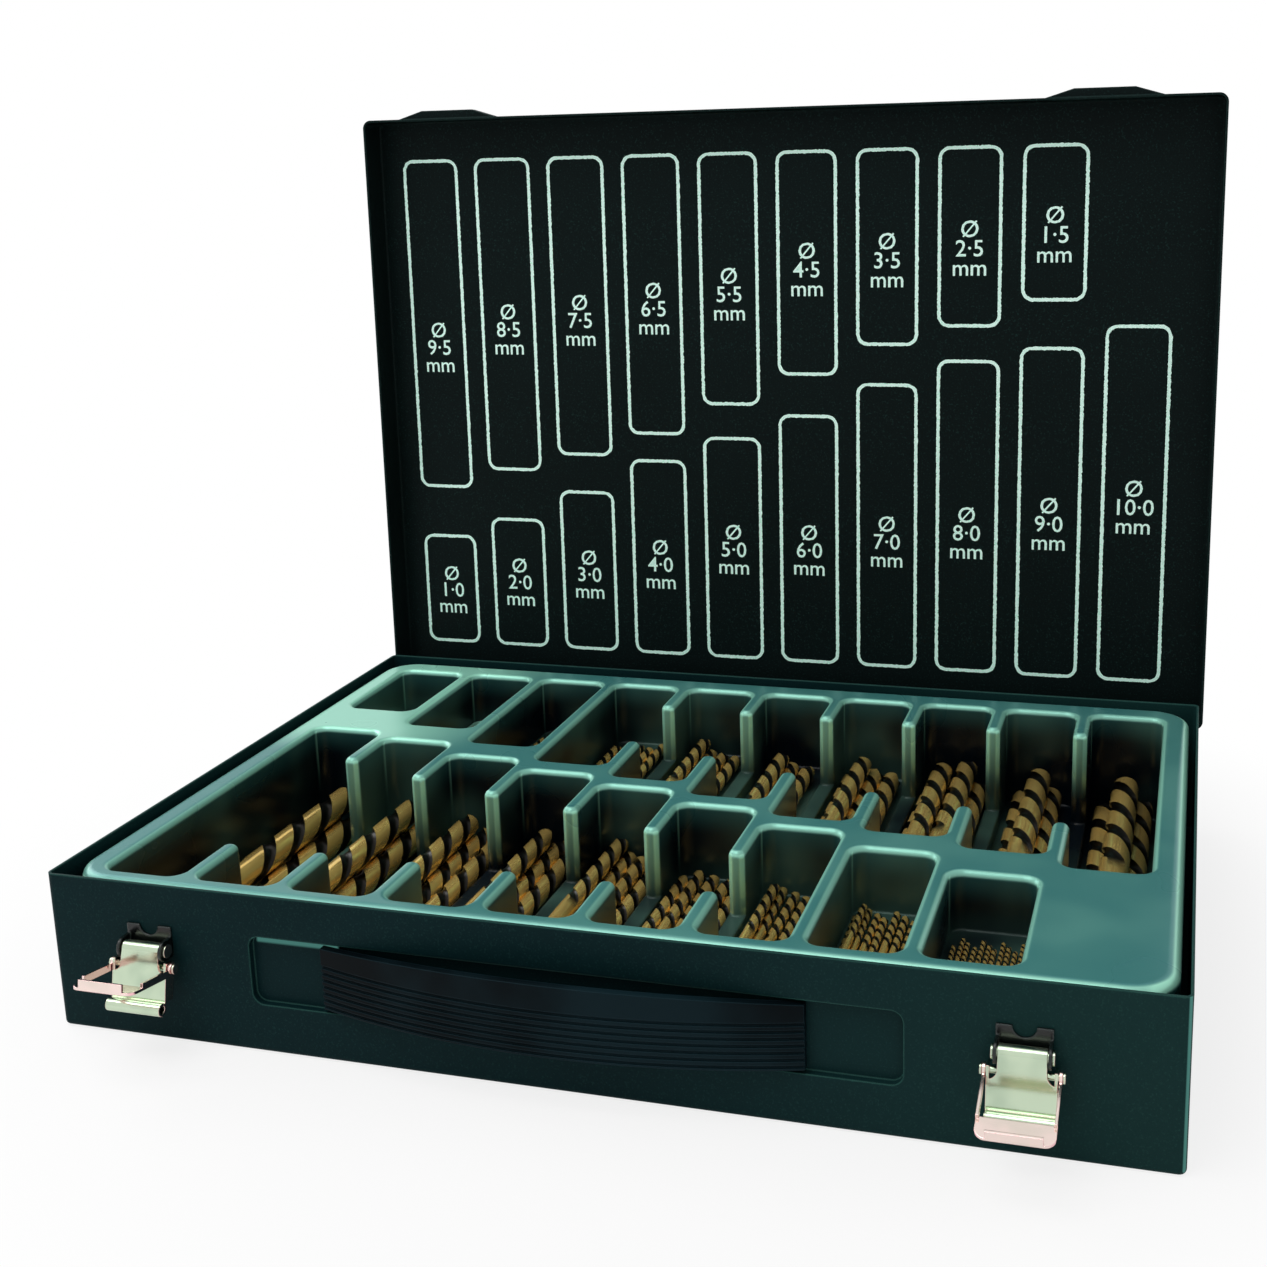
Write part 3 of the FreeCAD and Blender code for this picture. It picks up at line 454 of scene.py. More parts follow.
@dataclass(frozen=True)
class Drawn(Finish):
    """Glossy drawn sheet: pale with painted highlights over its edges, dark with painted shade down
    in the pockets.
    """

    land: Rgba
    # The pale colour after the land serves random clouds and the painted highlights.
    cloud_and_highlight: Rgba
    # The deep colour is painted shade down in the pockets.
    deep: Rgba
    metal: float
    shine: float
    gloss: float
    shine_swing: float = 0.06
    ripple_size: float = 16 * MM
    ripple_depth: float = 0.10 * MM
    edge_radius: float = 1.4 * MM
    cloud_scale: float = 3
    cloud_share: float = 0.12
    cloud_span: Span = (0.4, 0.7)
    # The pocket heights and the wall fields set the painted shade down in the pockets and on their
    # walls.
    pocket_heights: Span = (38.0 * MM, 49.2 * MM)
    wall_base: float = 0.3
    wall_gain: float = 0.7
    wall_facing: Span = (0.1, 0.8)
    top: float = 49.5 * MM
    roll: float = 3.0 * MM
    roll_start: float = 0.6
    roll_facing: Span = (0.05, 0.45)
    flat_facing: Span = (0.88, 0.995)
    pale_share: float = 0.5
    lip_share: float = 0.45
    lip_side: float = 162 * MM
    lip_front: float = 110 * MM
    lip_width: float = 5 * MM
    lip_run: Span = (-60 * MM, 150 * MM)
    lip_dim: float = 0.5
    pitch: float = 32 * MM
    nose_half: float = 2.9 * MM
    nose_soft: float = 0.4 * MM
    nose_foot: float = 22 * MM
    nose_facing: Span = (0.1, 0.5)
    nose_base: float = 0.45
    nose_gain: float = 0.55
    nose_turn: Span = (0.15, 0.8)
    nose_slope: Span = (0.3, 0.7)
    bright_share: float = 0.75
    bright_run: Span = (-125 * MM, -85 * MM)
    bright_rear: float = 30 * MM
    bright_facing: Span = (0.6, 0.9)

    def nose_highlights(self, spot: Spot) -> Value:
        """Where a painted highlight lies on the rounded end of a wall between two pockets that
        faces the front.
        """
        beside = spot.across.from_multiple(self.pitch)
        divider = 1.0 - beside.between(self.nose_half, self.nose_half + self.nose_soft)
        turned = self.nose_base + self.nose_gain * spot.diagonal().between(*self.nose_turn)
        ahead = (-spot.rearward).between(*self.nose_facing) * turned
        upright = 1.0 - spot.upward.absolute().between(*self.nose_slope)
        return divider * ahead * upright * spot.height.between(self.nose_foot, self.top)

    def land_reflection(self, spot: Spot) -> Value:
        """How much painted reflection lies on the level sheet at the rear left."""
        bright = self.bright_share * (1.0 - spot.across.between(*self.bright_run))
        rear = bright * spot.along.between(0.0, self.bright_rear)
        return rear * spot.upward.between(*self.bright_facing)

    def rolled_edge_highlights(self, spot: Spot) -> Value:
        """How much painted highlight lies on the rolled edges of the pockets and on the outer lips.
        """
        start = self.top - self.roll_start * self.roll
        near_top = spot.height.between(self.top - self.roll, start)
        bent = near_top * spot.upward.between(*self.roll_facing)
        rolled = bent * (1.0 - spot.upward.between(*self.flat_facing))
        side = spot.across.between(self.lip_side - self.lip_width, self.lip_side)
        ahead = (-spot.along).between(self.lip_front - self.lip_width, self.lip_front)
        front = ahead * (spot.across.between(*self.lip_run) - self.lip_dim)
        return rolled * (self.pale_share + self.lip_share * (side + front))

    def surface(self, nodes: Nodes) -> dict[str, Any]:
        """The sheet's inputs."""
        rounded, _ = nodes.fold(self.edge_radius)
        spot = nodes.spot()
        ripple = nodes.grain(self.ripple_size, detail=1.0)
        cloud = nodes.grain(self.cloud_scale * self.ripple_size, detail=2.0)
        # Painted shade: the sheet turns towards the deep colour low in the pockets and where walls
        # do not face up.
        level = self.wall_base + self.wall_gain * spot.upward.between(*self.wall_facing)
        unshaded_share = spot.height.between(*self.pocket_heights) * level
        body = nodes.blend(unshaded_share, self.deep, self.land)
        clouded = self.cloud_share * cloud.between(*self.cloud_span)
        sheet = nodes.blend(clouded, body, self.cloud_and_highlight)
        # Painted highlights on the wall noses, the rear left land and the rolled edges and lips.
        highlight_share = self.nose_highlights(spot) + self.land_reflection(spot) + self.rolled_edge_highlights(spot)
        return {
            "Base Color": nodes.blend(highlight_share, sheet, self.cloud_and_highlight),
            "Metallic": self.metal,
            "Roughness": self.shine + cloud.swing(self.shine_swing),
            "Specular IOR Level": self.gloss,
            "Normal": nodes.relief(ripple, self.ripple_depth, rounded),
        }


@dataclass(frozen=True)
class Plated(Finish):
    """Bright plating on pressed steel, with a warm painted reflection on its side flanges and
    painted highlights on its edges.
    """

    colour: Rgba
    # The colour on the side flanges is a painted reflection, and the edges take it as a painted
    # highlight.
    side_reflection: Rgba
    dull: Rgba
    shine: float
    shine_swing: float = 0.08
    flank_span: Span = (0.1, 0.6)
    bloom: float = 0.3
    bloom_size: float = 14 * MM
    bloom_span: Span = (0.45, 0.7)
    scuff_size: float = 0.4 * MM
    scuff_depth: float = 0.006 * MM
    edge_radius: float = 0.35 * MM
    edge_tone: float = 0.7

    def surface(self, nodes: Nodes) -> dict[str, Any]:
        """The plating's inputs."""
        rounded, edge = nodes.fold(self.edge_radius)
        sideways = nodes.spot().sideways
        # Painted reflection: surfaces that face sideways take the side flanges' colour.
        side_reflection = (sideways * sideways).between(*self.flank_span)
        bloom = nodes.grain(self.bloom_size).between(*self.bloom_span)
        scuff = nodes.grain(self.scuff_size)
        face = nodes.blend(self.bloom * bloom, self.colour, self.dull)
        flanked = nodes.blend(side_reflection, face, self.side_reflection)
        return {
            # Painted highlight: the edges turn towards the side flanges' colour.
            "Base Color": nodes.blend(self.edge_tone * edge, flanked, self.side_reflection),
            "Metallic": 1.0,
            "Roughness": self.shine + scuff.swing(self.shine_swing),
            "Normal": nodes.relief(scuff, self.scuff_depth, rounded),
        }


@dataclass(frozen=True)
class Bronzed(Finish):
    """Straw-gold oxide on ground steel: bright lands and shanks, dark flutes."""

    land: Rgba
    flute: Rgba
    shine: float
    shine_swing: float = 0.04
    flute_dull: float = 0.1
    metal: float = 0.72
    tint_size: float = 24 * MM
    tint_depth: float = 0.5
    tint_share: float = 0.35
    tint_span: Span = (0.4, 0.65)
    scuff_size: float = 0.5 * MM
    scuff_depth: float = 0.001 * MM

    def surface(self, nodes: Nodes) -> dict[str, Any]:
        """The oxide's inputs."""
        depth = nodes.make("ShaderNodeAttribute", {"attribute_name": FLUTE_SHADE}, None, "Fac")
        tint = nodes.grain(self.tint_size)
        dark = nodes.blend(self.tint_depth, self.land, self.flute)
        land = nodes.blend(self.tint_share * tint.between(*self.tint_span), self.land, dark)
        scuff = nodes.grain(self.scuff_size)
        return {
            "Base Color": nodes.blend(depth, land, self.flute),
            "Metallic": self.metal,
            "Roughness": self.shine + scuff.swing(self.shine_swing) + self.flute_dull * depth,
            "Normal": nodes.relief(scuff, self.scuff_depth, nodes.normal()),
        }


@dataclass(frozen=True)
class Ink(Finish):
    """Pale screen ink, thin enough for the lacquer's grain to break it up, with a faint painted
    glow.
    """

    colour: Rgba
    thin: Rgba
    # The glow colour and its strength give the ink a painted glow, brighter than the lamps alone
    # make it.
    glow: Rgba
    glow_strength: float = 0.14
    thin_span: Span = (0.52, 0.7)
    dullness: float = 0.6
    dull_swing: float = 0.2
    gloss: float = 0.2
    grain_size: float = 0.5 * MM
    grain_depth: float = 0.01 * MM

    def surface(self, nodes: Nodes) -> dict[str, Any]:
        """The ink's inputs."""
        grain = nodes.grain(self.grain_size, detail=3.0, rough=0.6)
        return {
            "Base Color": nodes.blend(grain.between(*self.thin_span), self.colour, self.thin),
            "Roughness": self.dullness + grain.swing(self.dull_swing),
            "Specular IOR Level": self.gloss,
            # Painted glow: the ink emits a little light, though it is no lamp.
            "Emission Color": self.glow,
            "Emission Strength": self.glow_strength,
            "Normal": nodes.relief(grain, self.grain_depth, nodes.normal()),
        }


STEEL = Pan("case_lacquer", colour=tone(11, 37, 40), edge_colour=tone(95, 165, 150))
PANEL = Lacquer(
    "panel_lacquer", colour=tone(13, 24, 24), edge_colour=tone(60, 100, 95),
    grain_size=0.7 * MM, speckle=0.16,
)
# The insert's deep colour is painted shade in its pockets.
# The insert's pale colour also paints its highlights and reflections.
INSERT = Drawn(
    "insert_plastic", land=tone(70, 136, 134), cloud_and_highlight=tone(170, 240, 214),
    deep=tone(3, 12, 20), metal=0.25, shine=0.28, gloss=0.32,
)
STRAP = Moulded(
    "strap_plastic_finish", colour=tone(3, 9, 13), pale=tone(30, 56, 64),
    shine=0.42, gloss=0.05,
)
BLACKED = Lacquer(
    "blacked_steel", colour=tone(5, 8, 9), edge_colour=tone(60, 90, 85),
    sheen=0.22, gloss=0.5,
)
# Each plating's second colour is a painted reflection tint for its side flanges and edges.
CHROME = Plated(
    "latch_chrome_finish", colour=tone(205, 222, 195), side_reflection=tone(250, 205, 200),
    dull=tone(120, 150, 130), shine=0.14,
)
ROSE = Plated(
    "claw_chrome_finish", colour=tone(250, 228, 220), side_reflection=tone(255, 200, 205),
    dull=tone(190, 200, 180), shine=0.14,
)
HINGE = Plated(
    "hinge_steel_finish", colour=tone(30, 44, 44), side_reflection=tone(28, 42, 42),
    dull=tone(20, 30, 30), shine=0.35,
)
OXIDE = Bronzed("bit_oxide", land=tone(255, 216, 124), flute=tone(14, 11, 6), shine=0.21)
PRINT = Ink(
    "print_ink", colour=tone(236, 255, 250), thin=tone(170, 225, 205),
    glow=tone(150, 255, 215),
)


def dress(node: bpy.types.Object, finish: Finish) -> None:
    """Give an object one finish all over."""
    node.data.materials.clear()
    node.data.materials.append(finish.material())


def new_piece(
    name: str,
    points: Sequence[Vector],
    faces: Iterable[Face],
    finish: Finish,
    body: Body,
) -> bpy.types.Object:
    """Make a mesh piece in place and let it ride.

    Args:
        name: The piece's name.
        points: Its corners, in metres.
        faces: The corners of each face, by number.
        finish: Its finish.
        body: The body that it moves with.

    Returns:
        The piece.
    """
    mesh = bpy.data.meshes.new(name)
    mesh.from_pydata([tuple(p) for p in points], [], list(faces))
    mesh.update()
    piece = bpy.data.objects.new(name, mesh)
    bpy.context.scene.collection.objects.link(piece)
    dress(piece, finish)
    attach(piece, body.value)
    log.info("made %s with %d faces", name, len(mesh.polygons))
    return piece


@dataclass(frozen=True)
class Size:
    """One printed or stored bit size."""

    tag: str
    row: Row
    column: int

    @property
    def diameter(self) -> float:
        """The bit's diameter in metres."""
        return float(self.tag.replace("_", ".")) * MM

    @property
    def label(self) -> str:
        """The size as it is printed."""
        return self.tag.replace("_", "·")


def sizes() -> list[Size]:
    """Every bit size, pocket by pocket.

    Returns:
        1.0 to 10.0 in the rear row, then 9.5 to 1.5 in the front row.
    """
    rear = [Size("%d_0" % (k + 1), Row.REAR, k) for k in range(REAR_COLUMNS)]
    front = [Size("%d_5" % (FRONT_COLUMNS - k), Row.FRONT, k) for k in range(FRONT_COLUMNS)]
    return rear + front


@dataclass
class LidPrint:
    """The outlines and sizes printed on the inner face of the lid.

    The two tables give, in millimetres, the length of each outline and the height of each size
    above the rim of the base.
    """

    pitch: float = 32.35 * MM
    first_column: float = -148.6 * MM
    box_width: float = 24.8 * MM
    line: float = 1.3 * MM
    corner: float = 4.6 * MM
    corner_points: int = 7
    quarters: tuple[tuple[int, int], ...] = ((1, 1), (-1, 1), (-1, -1), (1, -1))
    lean: float = math.radians(1.0)
    panel_depth: float = 15.4 * MM
    ink: float = 0.06 * MM
    top_edge: float = 211.6 * MM
    bottom_edge: float = 2.3 * MM
    base_height: float = 51.0 * MM
    step: float = 0.45 * MM
    steps_least: int = 2
    ragged: float = 0.3 * MM
    ragged_size: float = 0.5 * MM
    ragged_letter: float = 0.3
    noise_seed: int = 7
    outline_shift: tuple[float, float] = (7.0, 5.0)
    label_shift: tuple[float, float, float] = (3.0, 11.0, 1.0)
    letter: float = 9.0 * MM
    letter_bold: float = 0.05 * MM
    letter_steps: int = 3
    leading: float = 7.4 * MM
    lengths: dict[str, float] = field(default_factory=lambda: {
        "9_5": 139.6, "8_5": 131.3, "7_5": 124.0, "6_5": 114.4, "5_5": 101.5,
        "4_5": 88.9, "3_5": 76.7, "2_5": 69.3, "1_5": 59.2,
        "1_0": 48.8, "2_0": 57.2, "3_0": 70.2, "4_0": 84.5, "5_0": 94.7,
        "6_0": 104.6, "7_0": 117.7, "8_0": 127.4, "9_0": 132.7, "10_0": 141.3,
    })
    label_heights: dict[str, float] = field(default_factory=lambda: {
        "9_5": 137, "8_5": 145, "7_5": 149, "6_5": 154, "5_5": 160,
        "4_5": 170, "3_5": 173.5, "2_5": 178, "1_5": 183,
        "1_0": 27, "2_0": 32, "3_0": 37, "4_0": 43, "5_0": 51,
        "6_0": 52, "7_0": 57, "8_0": 62, "9_0": 67, "10_0": 75,
    })
    label_share: float = 0.9714

    def hinge(self) -> Vector:
        """Where the lid's axis is, at the middle."""
        joint = next(j for j in frame["joints"] if j["name"] == "lid_hinge")
        return Vector(joint["pos_m"])

    def on_panel(self, across: float, height: float) -> Vector:
        """A point of the print, the ink's thickness in front of the lid's inner face.

        Args:
            across: Distance to the right of the middle.
            height: Height above the rim of the base.

        Returns:
            The point in the frame.
        """
        up = Vector((0, math.sin(self.lean), math.cos(self.lean)))
        forward = Vector((0, -math.cos(self.lean), math.sin(self.lean)))
        hinge = self.hinge()
        climb = (self.base_height + height - hinge.z) / math.cos(self.lean)
        back = self.panel_depth - self.ink
        return hinge + up * climb - forward * back + Vector((across, 0, 0))

    def span(self, size: Size) -> tuple[float, float]:
        """The lower and upper edge of one outline, above the rim of the base."""
        length = self.lengths[size.tag] * MM
        if size.row is Row.FRONT:
            return self.top_edge - length, self.top_edge
        return self.bottom_edge, self.bottom_edge + length

    def centre(self, size: Size) -> float:
        """The middle of a column."""
        return self.first_column + self.pitch * size.column

    def loop(self, size: Size, inset: float) -> list[Vector]:
        """A rounded rectangle with a slightly ragged edge.

        Args:
            size: The outline's bit size.
            inset: Distance in from the outer edge of the line.

        Returns:
            Its points, in order.
        """
        low, high = self.span(size)
        half = self.box_width / 2 - self.corner
        rise = (high - low) / 2 - self.corner
        radius = self.corner - inset

        def rim(corner: int, quarter_turns: float) -> Vector:
            """A point on the arc of one corner, numbered from the upper right."""
            side, end = self.quarters[corner % len(self.quarters)]
            angle = quarter_turns * math.pi / 2
            x = side * half + radius * math.cos(angle)
            return Vector((x, end * rise + radius * math.sin(angle), 0))

        points: list[Vector] = []
        for turn in range(len(self.quarters)):
            arc = self.corner_points
            points += [rim(turn, turn + k / (arc - 1)) for k in range(arc)]
            start, target = points[-1], rim(turn + 1, turn + 1)
            count = self.steps(low, high, turn)
            points += [start.lerp(target, k / count) for k in range(1, count)]
        columns, rows = self.outline_shift
        apart = Vector((size.column * columns, size.row.value * rows, inset / MM))
        middle = Vector((self.centre(size), (low + high) / 2, 0))
        return [self.roughened(point, apart) + middle for point in points]

    def steps(self, low: float, high: float, turn: int) -> int:
        """How many short steps a straight side has."""
        length = self.box_width if turn % 2 == 0 else high - low
        return max(self.steps_least, round((length - 2 * self.corner) / self.step))

    def roughened(self, point: Vector, apart: Vector) -> Vector:
        """The point, moved a little as the mesh of a screen leaves it.

        Args:
            point: A flat point of the print.
            apart: Where in the noise this print is read, so that no two are alike.

        Returns:
            The moved point, as flat as before.
        """
        shift = noise.noise_vector(point / self.ragged_size + apart) * self.ragged
        return point + Vector((shift.x, shift.y, 0))

    def outline(self, size: Size) -> tuple[list[Vector], list[Face]]:
        """The points and faces of one printed outline."""
        outer = self.loop(size, 0.0)
        inner = self.loop(size, self.line)
        count = len(outer)
        points = [self.on_panel(p.x, p.y) for p in outer + inner]
        faces = [(k, (k + 1) % count, count + (k + 1) % count, count + k) for k in range(count)]
        return points, faces

    def letters(self, size: Size) -> tuple[list[Vector], list[Face]]:
        """The flat points and faces of one size in three lines, before they are placed."""
        text = bpy.data.curves.new("label_" + size.tag, "FONT")
        text.body = "Ø\n%s\nmm" % size.label
        text.size = self.letter
        text.align_x = "CENTER"
        text.space_line = self.leading / self.letter
        text.offset = self.letter_bold
        text.resolution_u = self.letter_steps
        holder = bpy.data.objects.new("label_" + size.tag, text)
        bpy.context.scene.collection.objects.link(holder)
        graph = bpy.context.evaluated_depsgraph_get()
        mesh = bpy.data.meshes.new_from_object(holder.evaluated_get(graph))
        points = [Vector((vertex.co.x, vertex.co.y, 0)) for vertex in mesh.vertices]
        faces = [tuple(polygon.vertices) for polygon in mesh.polygons]
        bpy.data.objects.remove(holder)
        bpy.data.meshes.remove(mesh)
        return points, faces

    def label(self, size: Size) -> tuple[list[Vector], list[Face]]:
        """The points and faces of one printed size, on the lid."""
        plain, faces = self.letters(size)
        heights = [point.y for point in plain]
        middle = (min(heights) + max(heights)) / 2
        height = self.label_heights[size.tag] * self.label_share * MM
        across = self.centre(size)
        columns, rows, layer = self.label_shift
        apart = Vector((size.column * columns, size.row.value * rows, layer))
        points = []
        for point in plain:
            rough = point.lerp(self.roughened(point, apart), self.ragged_letter)
            points.append(self.on_panel(across + rough.x, height + rough.y - middle))
        return points, faces

    def build(self) -> None:
        """Print every outline and size on the lid, with the same noise on every run."""
        noise.seed_set(self.noise_seed)
        for kind, maker in (("outlines", self.outline), ("sizes", self.label)):
            points: list[Vector] = []
            faces: list[Face] = []
            for size in sizes():
                more, joined = maker(size)
                faces += [tuple(n + len(points) for n in face) for face in joined]
                points += more
            piece = new_piece("printed_" + kind, points, faces, PRINT, Body.LID)


@dataclass
class TwistBit:
    """One twist drill, drawn along +Y from the end of its shank."""

    diameter: float
    length: float
    around: int
    rings_per_turn: int = 26
    rings_least: int = 4
    pitch_share: float = 4.2
    land_share: float = 0.58
    land_points_least: int = 3
    web_share: float = 0.22
    lip_share: float = 0.03
    bowl_lean: float = 0.75
    bowl_round: float = 0.8
    shank_base: float = 28 * MM
    shank_share: float = 2.6
    shank_limit_share: float = 0.66
    shank_end_share: float = 0.88
    chamfer_share: float = 0.05
    runout_share: float = 0.9
    chisel_share: float = 0.12
    tip_shares: tuple[float, ...] = (0.35, 0.7, 1.0)
    point_angle: float = math.radians(118)

    def flute_start(self) -> float:
        """Where the flutes run out into the shank."""
        shank = self.shank_base + self.shank_share * self.diameter
        return min(shank, self.shank_limit_share * self.length)

    def section(self) -> list[tuple[float, float, float]]:
        """The cross section, with two lands and a flute after each.

        Returns:
            For each point its angle, its depth below the land as a share of the radius, and
            how dark the flute is there.
        """
        half = self.around // 2
        lands = max(self.land_points_least, round(half * self.land_share))
        grooves = half - lands
        land_angle = math.pi * self.land_share
        lips = (self.lip_share, 1 - self.lip_share)
        inner = [(k + 1) / (grooves + 1) for k in range(grooves)]
        points = []
        for side in range(2):
            start = side * math.pi
            for k in range(lands):
                points.append((start + land_angle * k / (lands - 1), 0.0, 0.0))
            for along in (lips[0], *inner, lips[1]):
                sunk = 0.0 if along in lips else self.web_share * self.hollow(along)
                angle = start + land_angle + (math.pi - land_angle) * along
                points.append((angle, sunk, 1.0))
        return points

    def hollow(self, along: float) -> float:
        """How deep a flute is, as a share of its full depth, at a share of its width."""
        return math.sin(math.pi * along ** self.bowl_lean) ** self.bowl_round

    def stations(self) -> list[tuple[float, float, float]]:
        """The rings along the bit.

        Returns:
            For each ring its place along the bit, its radius as a share, and how deep the
            flutes are there as a share.
        """
        chamfer = self.chamfer_share * self.diameter
        point = self.diameter / 2 / math.tan(self.point_angle / 2)
        start = self.flute_start()
        runout = self.runout_share * self.diameter
        pitch = self.pitch_share * self.diameter
        body = self.length - point
        shank = [(0.0, self.shank_end_share), (chamfer, 1.0), (start - runout, 1.0)]
        rings = [(along, share, 0.0) for along, share in shank]
        turns = (body - start + runout) / pitch
        count = max(self.rings_least, round(turns * self.rings_per_turn))
        for k in range(1, count + 1):
            along = start - runout + (body - start + runout) * k / count
            rings.append((along, 1.0, min(1.0, (along - start + runout) / runout)))
        for share in self.tip_shares:
            rings.append((body + point * share, 1 - share * (1 - self.chisel_share), 1.0))
        return rings

    def mesh(self) -> tuple[list[Vector], list[Face], list[float]]:
        """The whole bit.

        Returns:
            Its points, its faces and how dark the flute is at each point.
        """
        section = self.section()
        radius = self.diameter / 2
        pitch = self.pitch_share * self.diameter
        start = self.flute_start()
        points = [Vector((0, 0, 0))]
        dark = [0.0]
        for along, share, depth in self.stations():
            twist = 2 * math.pi * max(0.0, along - start) / pitch
            for angle, sunk, flute in section:
                reach = radius * share * (1 - sunk * depth)
                turned = angle + twist
                x, z = reach * math.cos(turned), reach * math.sin(turned)
                points.append(Vector((x, along, z)))
                dark.append(flute * depth)
        points.append(Vector((0, self.length, 0)))
        dark.append(1.0)
        return points, self.faces(len(section), len(self.stations())), dark

    @staticmethod
    def faces(around: int, rings: int) -> list[Face]:
        """The faces between the rings, and the two closed ends."""
        made: list[Face] = []
        last = 1 + around * rings
        for k in range(around):
            beside = (k + 1) % around
            made.append((0, 1 + k, 1 + beside))
            top = 1 + around * (rings - 1)
            made.append((last, top + beside, top + k))
            for ring in range(rings - 1):
                low = 1 + around * ring
                made.append((low + beside, low + k, low + around + k, low + around + beside))
        return made


@dataclass
class Bits:
    """The bits that lie in the pockets, in the place of the plain rods."""

    pocket_width: float = 26.5 * MM
    play: float = 0.5 * MM
    stagger: float = 2.5 * MM
    sway: float = math.radians(0.8)
    fine_limit: float = 4 * MM
    fine_around: int = 16
    coarse_around: int = 24
    sharp_angle: float = math.radians(34)
    seed: int = 7
    counts: dict[str, int] = field(default_factory=lambda: {
        "1_0": 8, "2_0": 8, "3_0": 6, "4_0": 5, "5_0": 5,
        "6_0": 4, "7_0": 4, "8_0": 5, "9_0": 3, "10_0": 3,
        "9_5": 3, "8_5": 3, "7_5": 4, "6_5": 4, "5_5": 5,
        "4_5": 5, "3_5": 7, "2_5": 9, "1_5": 11,
    })

    def places(self, size: Size, low: Vector, high: Vector) -> list[Vector]:
        """Where the shank ends of one pocket's bits lie.

        Args:
            size: Their size.
            low: The least corner of the space that the plain rods fill.
            high: Its greatest corner.

        Returns:
            A place for each bit, the lower layer first and the rest in the gaps above it.
        """
        step = size.diameter + self.play
        middle = (low.x + high.x) / 2
        count = self.counts[size.tag]
        room = self.pocket_width - 2 * self.play
        lower = min(int((room + self.play) / step), count)
        found = []
        for k in range(count):
            if k < lower:
                across, rise = k - (lower - 1) / 2, 0.0
            else:
                across, rise = k - lower - (lower - 2) / 2, step * math.sqrt(3) / 2
            # The shank ends start at three places in turn, as loose bits do.
            shift = (k * 2 % 3) * self.stagger
            height = low.z + size.diameter / 2 + rise
            found.append(Vector((middle + across * step, low.y + shift, height)))
        return found

    def build_pocket(self, size: Size, rng: random.Random) -> None:
        """Lay the bits of one pocket.

        Args:
            size: Their size.
            rng: Gives each bit its own roll and sway.
        """
        node = "drills_" + size.tag
        low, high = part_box(node)
        length = high.y - low.y - 2 * self.stagger
        around = self.coarse_around if size.diameter > self.fine_limit else self.fine_around
        points, faces, dark = TwistBit(size.diameter, length, around).mesh()
        centre = Matrix.Translation(Vector((0, length / 2, 0)))
        all_points: list[Vector] = []
        all_faces: list[Face] = []
        all_dark: list[float] = []
        for place in self.places(size, low, high):
            roll = Matrix.Rotation(rng.uniform(0, 2 * math.pi), 4, "Y")
            sway = Matrix.Rotation(rng.uniform(-1, 1) * self.sway, 4, "Z")
            turn = Matrix.Translation(place) @ centre @ sway @ centre.inverted() @ roll
            all_faces += [tuple(n + len(all_points) for n in face) for face in faces]
            all_points += [turn @ p for p in points]
            all_dark += dark
        piece = new_piece("bits_" + size.tag, all_points, all_faces, OXIDE, Body.BASE)
        shade = piece.data.attributes.new(FLUTE_SHADE, "FLOAT", "POINT")
        shade.data.foreach_set("value", all_dark)
        piece.data.shade_smooth()
        piece.data.set_sharp_from_angle(angle=self.sharp_angle)
        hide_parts(node)

    def build(self) -> None:
        """Lay every pocket's bits."""
        rng = random.Random(self.seed)
        for size in sizes():
            self.build_pocket(size, rng)


@dataclass
class Carried:
    """The pieces that keep their own shape and only take a finish."""

    sides: tuple[str, ...] = ("left", "right")
    single: dict[str, Finish] = field(default_factory=lambda: {
        "base_pan": STEEL, "lid_pan": PANEL, "insert_tray": INSERT, "handle_strap": STRAP,
        "hinge_base_leaf": HINGE, "hinge_lid_leaf": HINGE, "hinge_pin": HINGE,
    })
    paired: dict[str, Finish] = field(default_factory=lambda: {
        "latch_plate": BLACKED, "latch_claw": ROSE,
        "lever_pin": CHROME, "latch_lever": CHROME, "claw_pin": CHROME,
    })

    def finishes(self) -> dict[str, Finish]:
        """The finish of each piece."""
        chosen = dict(self.single)
        for side in self.sides:
            for part, finish in self.paired.items():
                chosen["%s_%s" % (side, part)] = finish
        return chosen

    def build(self) -> None:
        """Dress every piece."""
        for name, finish in self.finishes().items():
            dress(frame["nodes"][name], finish)
            log.info("dressed %s with %s", name, finish.name)


@dataclass
class Camera:
    """The photograph's view, worked out from the corners of the case.

    The focal length and the centre are in pixels of the photograph, the angles in radians and
    the sensor in millimetres.
    """

    focal: float = 1673.9
    centre: tuple[float, float] = (716.2, 543.0)
    place: tuple[float, float, float] = (164.9 * MM, -520.1 * MM, 260.4 * MM)
    yaw: float = 0.2840
    pitch: float = -0.2265
    roll: float = 0.0254
    sensor: float = 36.0

    def build(self) -> None:
        """Set up the scene's camera."""
        data = bpy.data.cameras.new("view")
        data.sensor_width = self.sensor
        data.lens = self.focal / IMAGE_SIDE * self.sensor
        data.shift_x = (IMAGE_SIDE / 2 - self.centre[0]) / IMAGE_SIDE
        data.shift_y = (self.centre[1] - IMAGE_SIDE / 2) / IMAGE_SIDE
        camera = bpy.data.objects.new("view", data)
        turn = (Matrix.Rotation(self.yaw, 3, "Z") @ Matrix.Rotation(self.pitch, 3, "X")
                @ Matrix.Rotation(self.roll, 3, "Y"))
        right, forward, up = turn.col
        axes = Matrix((right, up, -forward)).transposed()
        camera.matrix_world = Matrix.Translation(Vector(self.place)) @ axes.to_4x4()
        bpy.context.scene.collection.objects.link(camera)
        bpy.context.scene.camera = camera


@dataclass
class Lamp:
    """One soft square lamp, in metres and watts."""

    name: str
    place: tuple[float, float, float]
    side: float
    power: float
    aim: tuple[float, float, float] = (0, 0, 0.05)

    def build(self) -> None:
        """Hang the lamp, aimed at the case."""
        data = bpy.data.lights.new(self.name, "AREA")
        data.size = self.side
        data.energy = self.power
        lamp = bpy.data.objects.new(self.name, data)
        lamp.location = self.place
        lamp.rotation_mode = "QUATERNION"
        beam = Vector(self.aim) - Vector(self.place)
        lamp.rotation_quaternion = beam.to_track_quat("-Z", "Y")
        bpy.context.scene.collection.objects.link(lamp)


